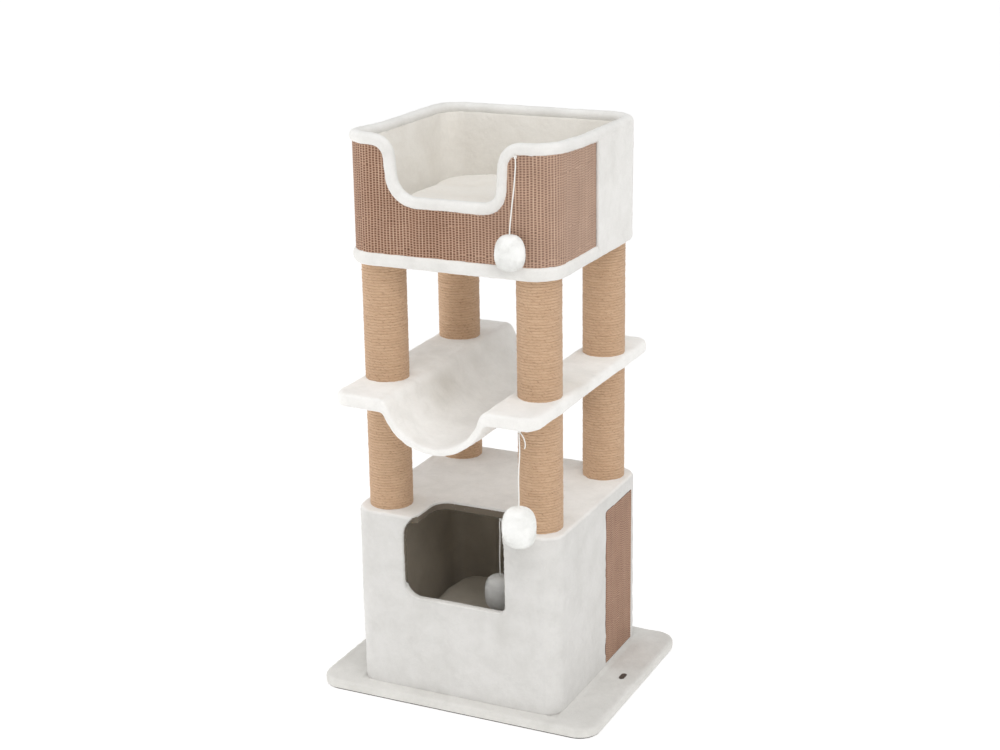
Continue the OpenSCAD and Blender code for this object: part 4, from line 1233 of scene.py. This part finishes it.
# ------------------------------------------------------------------ toys
def pom_shape(node, centre, r, h, seed, name, body, narrow):
    nu, nv = 96, 64
    th = np.linspace(0, 2 * math.pi, nu, endpoint=False)
    el = np.linspace(-math.pi / 2, math.pi / 2, nv)
    T, E = np.meshgrid(th, el)
    ce, se = np.cos(E), np.sin(E)
    rr = np.abs(ce) ** 0.62
    x, y = 1.06 * r * rr * np.cos(T), r * rr * np.sin(T)
    z = h * np.sign(se) * np.abs(se) ** 0.72
    taper = 1 - narrow * np.clip(z / h, 0, 1) ** 1.4
    x, y = x * taper, y * taper
    p = np.stack([x, y, z], -1).reshape(-1, 3) * 0.965
    n = np.stack([np.cos(T) * ce / r, np.sin(T) * ce / r, se / h], -1).reshape(-1, 3)
    n /= np.linalg.norm(n, axis=1)[:, None]
    d = 0.0010 * vnoise(p, 0.024, seed) + 0.0005 * vnoise(p, 0.010, seed + 1) + 0.0003 * vnoise(p, 0.0045, seed + 2)
    q = p + n * d[:, None] + np.array(centre)
    # one point at each pole
    q[:nu] = q[:nu].mean(0)
    q[-nu:] = q[-nu:].mean(0)
    faces = grid_faces(nu, nv, True)
    verts = list(map(tuple, q[nu:-nu])) + [tuple(q[0]), tuple(q[-1])]
    south, north = len(verts) - 2, len(verts) - 1
    fl = []
    for f in faces.tolist():
        g = [south if i < nu else north if i >= nu * (nv - 1) else i - nu for i in f]
        g = [a for k, a in enumerate(g) if a != g[k - 1]]
        if len(g) >= 3:
            fl.append(tuple(g))
    # short pile: thin tapered tufts
    rng = np.random.default_rng(seed)
    k = 14000
    v = rng.normal(size=(k, 3))
    v /= np.linalg.norm(v, axis=1)[:, None]
    e = np.arcsin(v[:, 2])
    t = np.arctan2(v[:, 1], v[:, 0])
    rr = np.cos(e) ** 0.62
    taper = 1 - narrow * np.clip(np.abs(v[:, 2]) ** 0.72 * np.sign(v[:, 2]), 0, 1) ** 1.4
    root = np.column_stack([1.06 * r * rr * np.cos(t) * taper, r * rr * np.sin(t) * taper, h * np.sign(v[:, 2]) * np.abs(v[:, 2]) ** 0.72]) * 0.963
    nn = np.column_stack([np.cos(t) * np.cos(e) / r, np.sin(t) * np.cos(e) / r, np.sin(e) / h])
    nn /= np.linalg.norm(nn, axis=1)[:, None]
    lean = rng.normal(size=(k, 3)) * 0.45 + np.array([0, 0, -0.35])
    dirn = nn + lean
    dirn /= np.linalg.norm(dirn, axis=1)[:, None]
    side = np.cross(dirn, rng.normal(size=(k, 3)))
    side /= np.linalg.norm(side, axis=1)[:, None]
    ln = rng.uniform(0.0009, 0.0021, k)[:, None]
    w = 0.00022
    c = np.array(centre)
    a0, a1 = root - side * w + c, root + side * w + c
    mid = root + dirn * ln * 0.6 + c
    b0, b1 = mid - side * w * 0.7, mid + side * w * 0.7
    tip = root + dirn * ln + np.array([0, 0, -0.0004]) + c
    tufts = np.stack([a0, a1, b1, b0, tip], 1).reshape(-1, 3)
    off = len(verts)
    verts = np.concatenate([np.array(verts), tufts])
    for i in range(k):
        o5 = off + 5 * i
        fl.append((o5, o5 + 1, o5 + 2, o5 + 3))
        fl.append((o5 + 3, o5 + 2, o5 + 4))
    o = new_object(name, verts, fl)
    finish_piece(o, TOY, body, [node])
    return o


ROUTES = {
    "basket_toy": [(141, -213, 1069.6), (141.5, -216, 1058), (142, -220, 1040), (141, -224, 1020), (139.5, -228, 1000), (138.5, -231.5, 980), (138, -234.5, 964), (138, -234.5, 951.5)],
    "platform_toy": [(167, -264, 600), (168.5, -264, 590), (170, -264, 575), (169, -264.5, 555), (167, -265, 535), (166, -264.5, 510), (166.5, -264, 485), (167, -264, 471), (167, -264, 459.5)],
    "cave_toy": [(46, -94, 351), (47, -94, 340), (47.5, -94, 325), (46.5, -94, 305), (45.5, -94, 285), (45.5, -94, 265), (46, -94, 250), (46, -94, 239.5)],
}
SIZES = {"basket_toy": (0.026, 0.032), "platform_toy": (0.030, 0.038), "cave_toy": (0.029, 0.036)}


def make_toys():
    for i, (toy, route) in enumerate(ROUTES.items()):
        lo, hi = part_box(toy + "_pompom")
        centre = (lo + hi) / 2
        top_dx, low_dx = ((0.001, 0.001), (-0.001, -0.0026), (-0.002, -0.0026))[i]
        centre = centre + Vector((low_dx, 0, 0))
        pom = pom_shape(toy + "_pompom", centre, (hi.x - lo.x) / 2, (hi.z - lo.z) / 2, 300 + i, toy + "_ball", toy, (0.16, 0.05, 0.03)[i])
        k = np.linspace(0, 1, len(route))
        straight = np.array(route[0]) * (1 - k[:, None]) + np.array(route[-1]) * k[:, None]
        route = 0.5 * np.array(route) + 0.5 * straight
        pts = [Vector(p) * MM + Vector((top_dx * (1 - t) + low_dx * t, 0, 0)) for p, t in zip(route, k)] + [Vector((centre.x, centre.y, centre.z + (hi.z - lo.z) * 0.22))]
        # smooth curve through the route
        cu = bpy.data.curves.new(toy + "_cord", "CURVE")
        cu.dimensions = "3D"
        dense = []
        P = [pts[0]] + pts + [pts[-1]]
        for k in range(1, len(P) - 2):
            for s in range(6):
                t = s / 6
                a, b, c, d = P[k - 1], P[k], P[k + 1], P[k + 2]
                dense.append(0.5 * ((2 * b) + (c - a) * t + (2 * a - 5 * b + 4 * c - d) * t * t + (3 * b - a - 3 * c + d) * t ** 3))
        dense.append(pts[-1])
        sp = cu.splines.new("POLY")
        sp.points.add(len(dense) - 1)
        for q, v in zip(sp.points, dense):
            q.co = (*v, 1)
        cu.bevel_depth = 0.0012
        cu.bevel_resolution = 4
        cu.use_fill_caps = True
        cord = bpy.data.objects.new(toy + "_cord", cu)
        scene.collection.objects.link(cord)
        cu.materials.append(STRING)
        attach(cord, toy)
        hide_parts(toy + "_string")
        knot = make_knot(toy)


def tube(path, radius, centre, sides=10, closed=False):
    """Vertices and faces of a thin tube along a path."""
    path = np.asarray(path, float)
    n = len(path)
    d = np.roll(path, -1, 0) - np.roll(path, 1, 0) if closed else np.gradient(path, axis=0)
    d /= np.linalg.norm(d, axis=1)[:, None]
    ref = np.cross(d, [0.3, 1, 0.2])
    ref /= np.linalg.norm(ref, axis=1)[:, None]
    up = np.cross(d, ref)
    a = np.linspace(0, 2 * math.pi, sides, endpoint=False)
    rad = np.broadcast_to(np.asarray(radius, float), (n,))[:, None, None]
    verts = (path[:, None, :] + rad * (np.cos(a)[None, :, None] * ref[:, None, :] + np.sin(a)[None, :, None] * up[:, None, :])).reshape(-1, 3) + np.array(centre)
    i, j = np.meshgrid(np.arange(n if closed else n - 1), np.arange(sides), indexing="ij")
    f = np.stack([i * sides + j, i * sides + (j + 1) % sides, ((i + 1) % n) * sides + (j + 1) % sides, ((i + 1) % n) * sides + j], -1).reshape(-1, 4).tolist()
    if not closed:
        f += [list(range(sides))[::-1], [(n - 1) * sides + k for k in range(sides)]]
    return verts, f


# loose ends and doubled strands beside each knot, in millimetres from the knot's middle
ENDS = {
    "basket_toy": [[(0, 0, 0), (0.6, -0.6, -5), (0.8, -1.0, -10), (1.0, -1.2, -15)]],
    "platform_toy": [[(0, 0, 0), (4, -2, -3), (9, -3, -9), (12, -3, -17), (12.5, -3, -25), (11, -3, -30)]],
    "cave_toy": [[(0, 0, 0), (3, -1, -4), (3.2, -1.2, -12), (2.6, -1.2, -20), (4.5, -1.5, -27), (8, -2, -31), (9, -2, -35), (6, -2, -38), (3.2, -1.6, -35)]],
}


def make_knot(toy):
    lo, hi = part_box(toy + "_knot")
    c = (lo + hi) / 2
    if toy == "basket_toy":
        c = c + Vector((0, 0, 0.010))     # tied off up under the rim roll
    t = np.linspace(0, 2 * math.pi, 120, endpoint=False)
    # a trefoil, as a tied knot
    path = np.column_stack([np.sin(t) + 2 * np.sin(2 * t), np.cos(t) - 2 * np.cos(2 * t), -np.sin(3 * t)]) * 0.00085
    verts, faces = tube(path[:, [0, 2, 1]], 0.00105, c, 10, True)
    for end in ENDS[toy]:
        P = np.array([end[0]] + end + [end[-1]], float) * MM
        line = []
        for k in range(1, len(P) - 2):
            for s in np.arange(8) / 8:
                a, b, e, d = P[k - 1], P[k], P[k + 1], P[k + 2]
                line.append(0.5 * (2 * b + (e - a) * s + (2 * a - 5 * b + 4 * e - d) * s * s + (3 * b - a - 3 * e + d) * s ** 3))
        line.append(P[-1])
        rad = np.full(len(line), 0.0011)
        rad[-3:] = [0.0012, 0.0011, 0.0008]
        v, f = tube(line, rad, c)
        faces = list(faces) + [[i + len(verts) for i in q] for q in f]
        verts = np.concatenate([verts, v])
    o = new_object(toy + "_tied_knot", verts, faces)
    bm_fix(o)
    return finish_piece(o, STRING, toy + "_link", [toy + "_knot"])


# ------------------------------------------------------------------ floor and light
def make_stage():
    me = bpy.data.meshes.new("floor")
    me.from_pydata([(-60, -60, 0), (60, -60, 0), (60, 60, 0), (-60, 60, 0)], [], [(0, 1, 2, 3)])
    floor = bpy.data.objects.new("floor", me)
    scene.collection.objects.link(floor)
    m = Mat("floor")
    m.set(Base_Color=(0.93, 0.93, 0.93, 1), Roughness=0.9, Specular_IOR_Level=0.1, Emission_Color=(1, 1, 1, 1), Emission_Strength=0.26)
    me.materials.append(m.m)
    w = bpy.data.worlds.new("studio")
    scene.world = w
    w.use_nodes = True
    # white cloth round the set, dimmer overhead
    nodes, links = w.node_tree.nodes, w.node_tree.links
    way = nodes.new("ShaderNodeSeparateXYZ")
    links.new(nodes.new("ShaderNodeTexCoord").outputs["Generated"], way.inputs[0])
    wall = nodes.new("ShaderNodeValToRGB")
    links.new(way.outputs["Z"], wall.inputs[0])
    e = wall.color_ramp.elements
    e[0].position, e[0].color = 0.20, (1, 1, 1, 1)
    e[1].position, e[1].color = 0.40, (0.52, 0.52, 0.52, 1)
    links.new(wall.outputs[0], nodes["Background"].inputs[0])
    nodes["Background"].inputs[1].default_value = 1.0
    d = bpy.data.lights.new("key", "SUN")
    d.energy, d.angle = 1.05, math.radians(50)
    o = bpy.data.objects.new("key", d)
    scene.collection.objects.link(o)
    o.rotation_euler = Vector((-0.62, 0.50, -1.0)).to_track_quat("-Z", "Y").to_euler()
    d = bpy.data.lights.new("upper", "AREA")
    d.shape, d.size, d.energy = "SQUARE", 1.6, 6
    o = bpy.data.objects.new("upper", d)
    scene.collection.objects.link(o)
    o.location = (0.9, -1.6, 2.3)
    o.rotation_euler = (Vector((0, 0, 1.0)) - o.location).to_track_quat("-Z", "Y").to_euler()
    d = bpy.data.lights.new("left", "AREA")
    d.shape, d.size, d.energy = "SQUARE", 1.4, 16
    o = bpy.data.objects.new("left", d)
    scene.collection.objects.link(o)
    o.location = (-2.1, -0.4, 1.05)
    o.rotation_euler = (Vector((0, 0, 0.6)) - o.location).to_track_quat("-Z", "Y").to_euler()
    scene.view_settings.view_transform = "Standard"
    scene.view_settings.look = "None"
    scene.view_settings.exposure = 0
    scene.view_settings.gamma = 1


make_toys()
make_felt()
make_base()
make_cave()
make_cave_lining()
make_cave_panel()
make_basket_mat()
make_rim()
make_floor_roll()
make_basket_outer()
make_basket_lining()
make_platform()
make_posts()
lo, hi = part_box("basket_cushion")
pillow("basket_pillow", (hi.x - lo.x) / 2, (hi.y - lo.y) / 2, lo.z, hi.z, 0.05, CREAM, "basket_cushion", "basket_cushion", 501, 0.0035)
lo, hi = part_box("cave_cushion")
pillow("cave_pillow", (hi.x - lo.x) / 2, (hi.y - lo.y) / 2, lo.z, hi.z, 0.055, TAUPE_CUSHION, "frame", "cave_cushion", 601, 0.003)
make_stage()
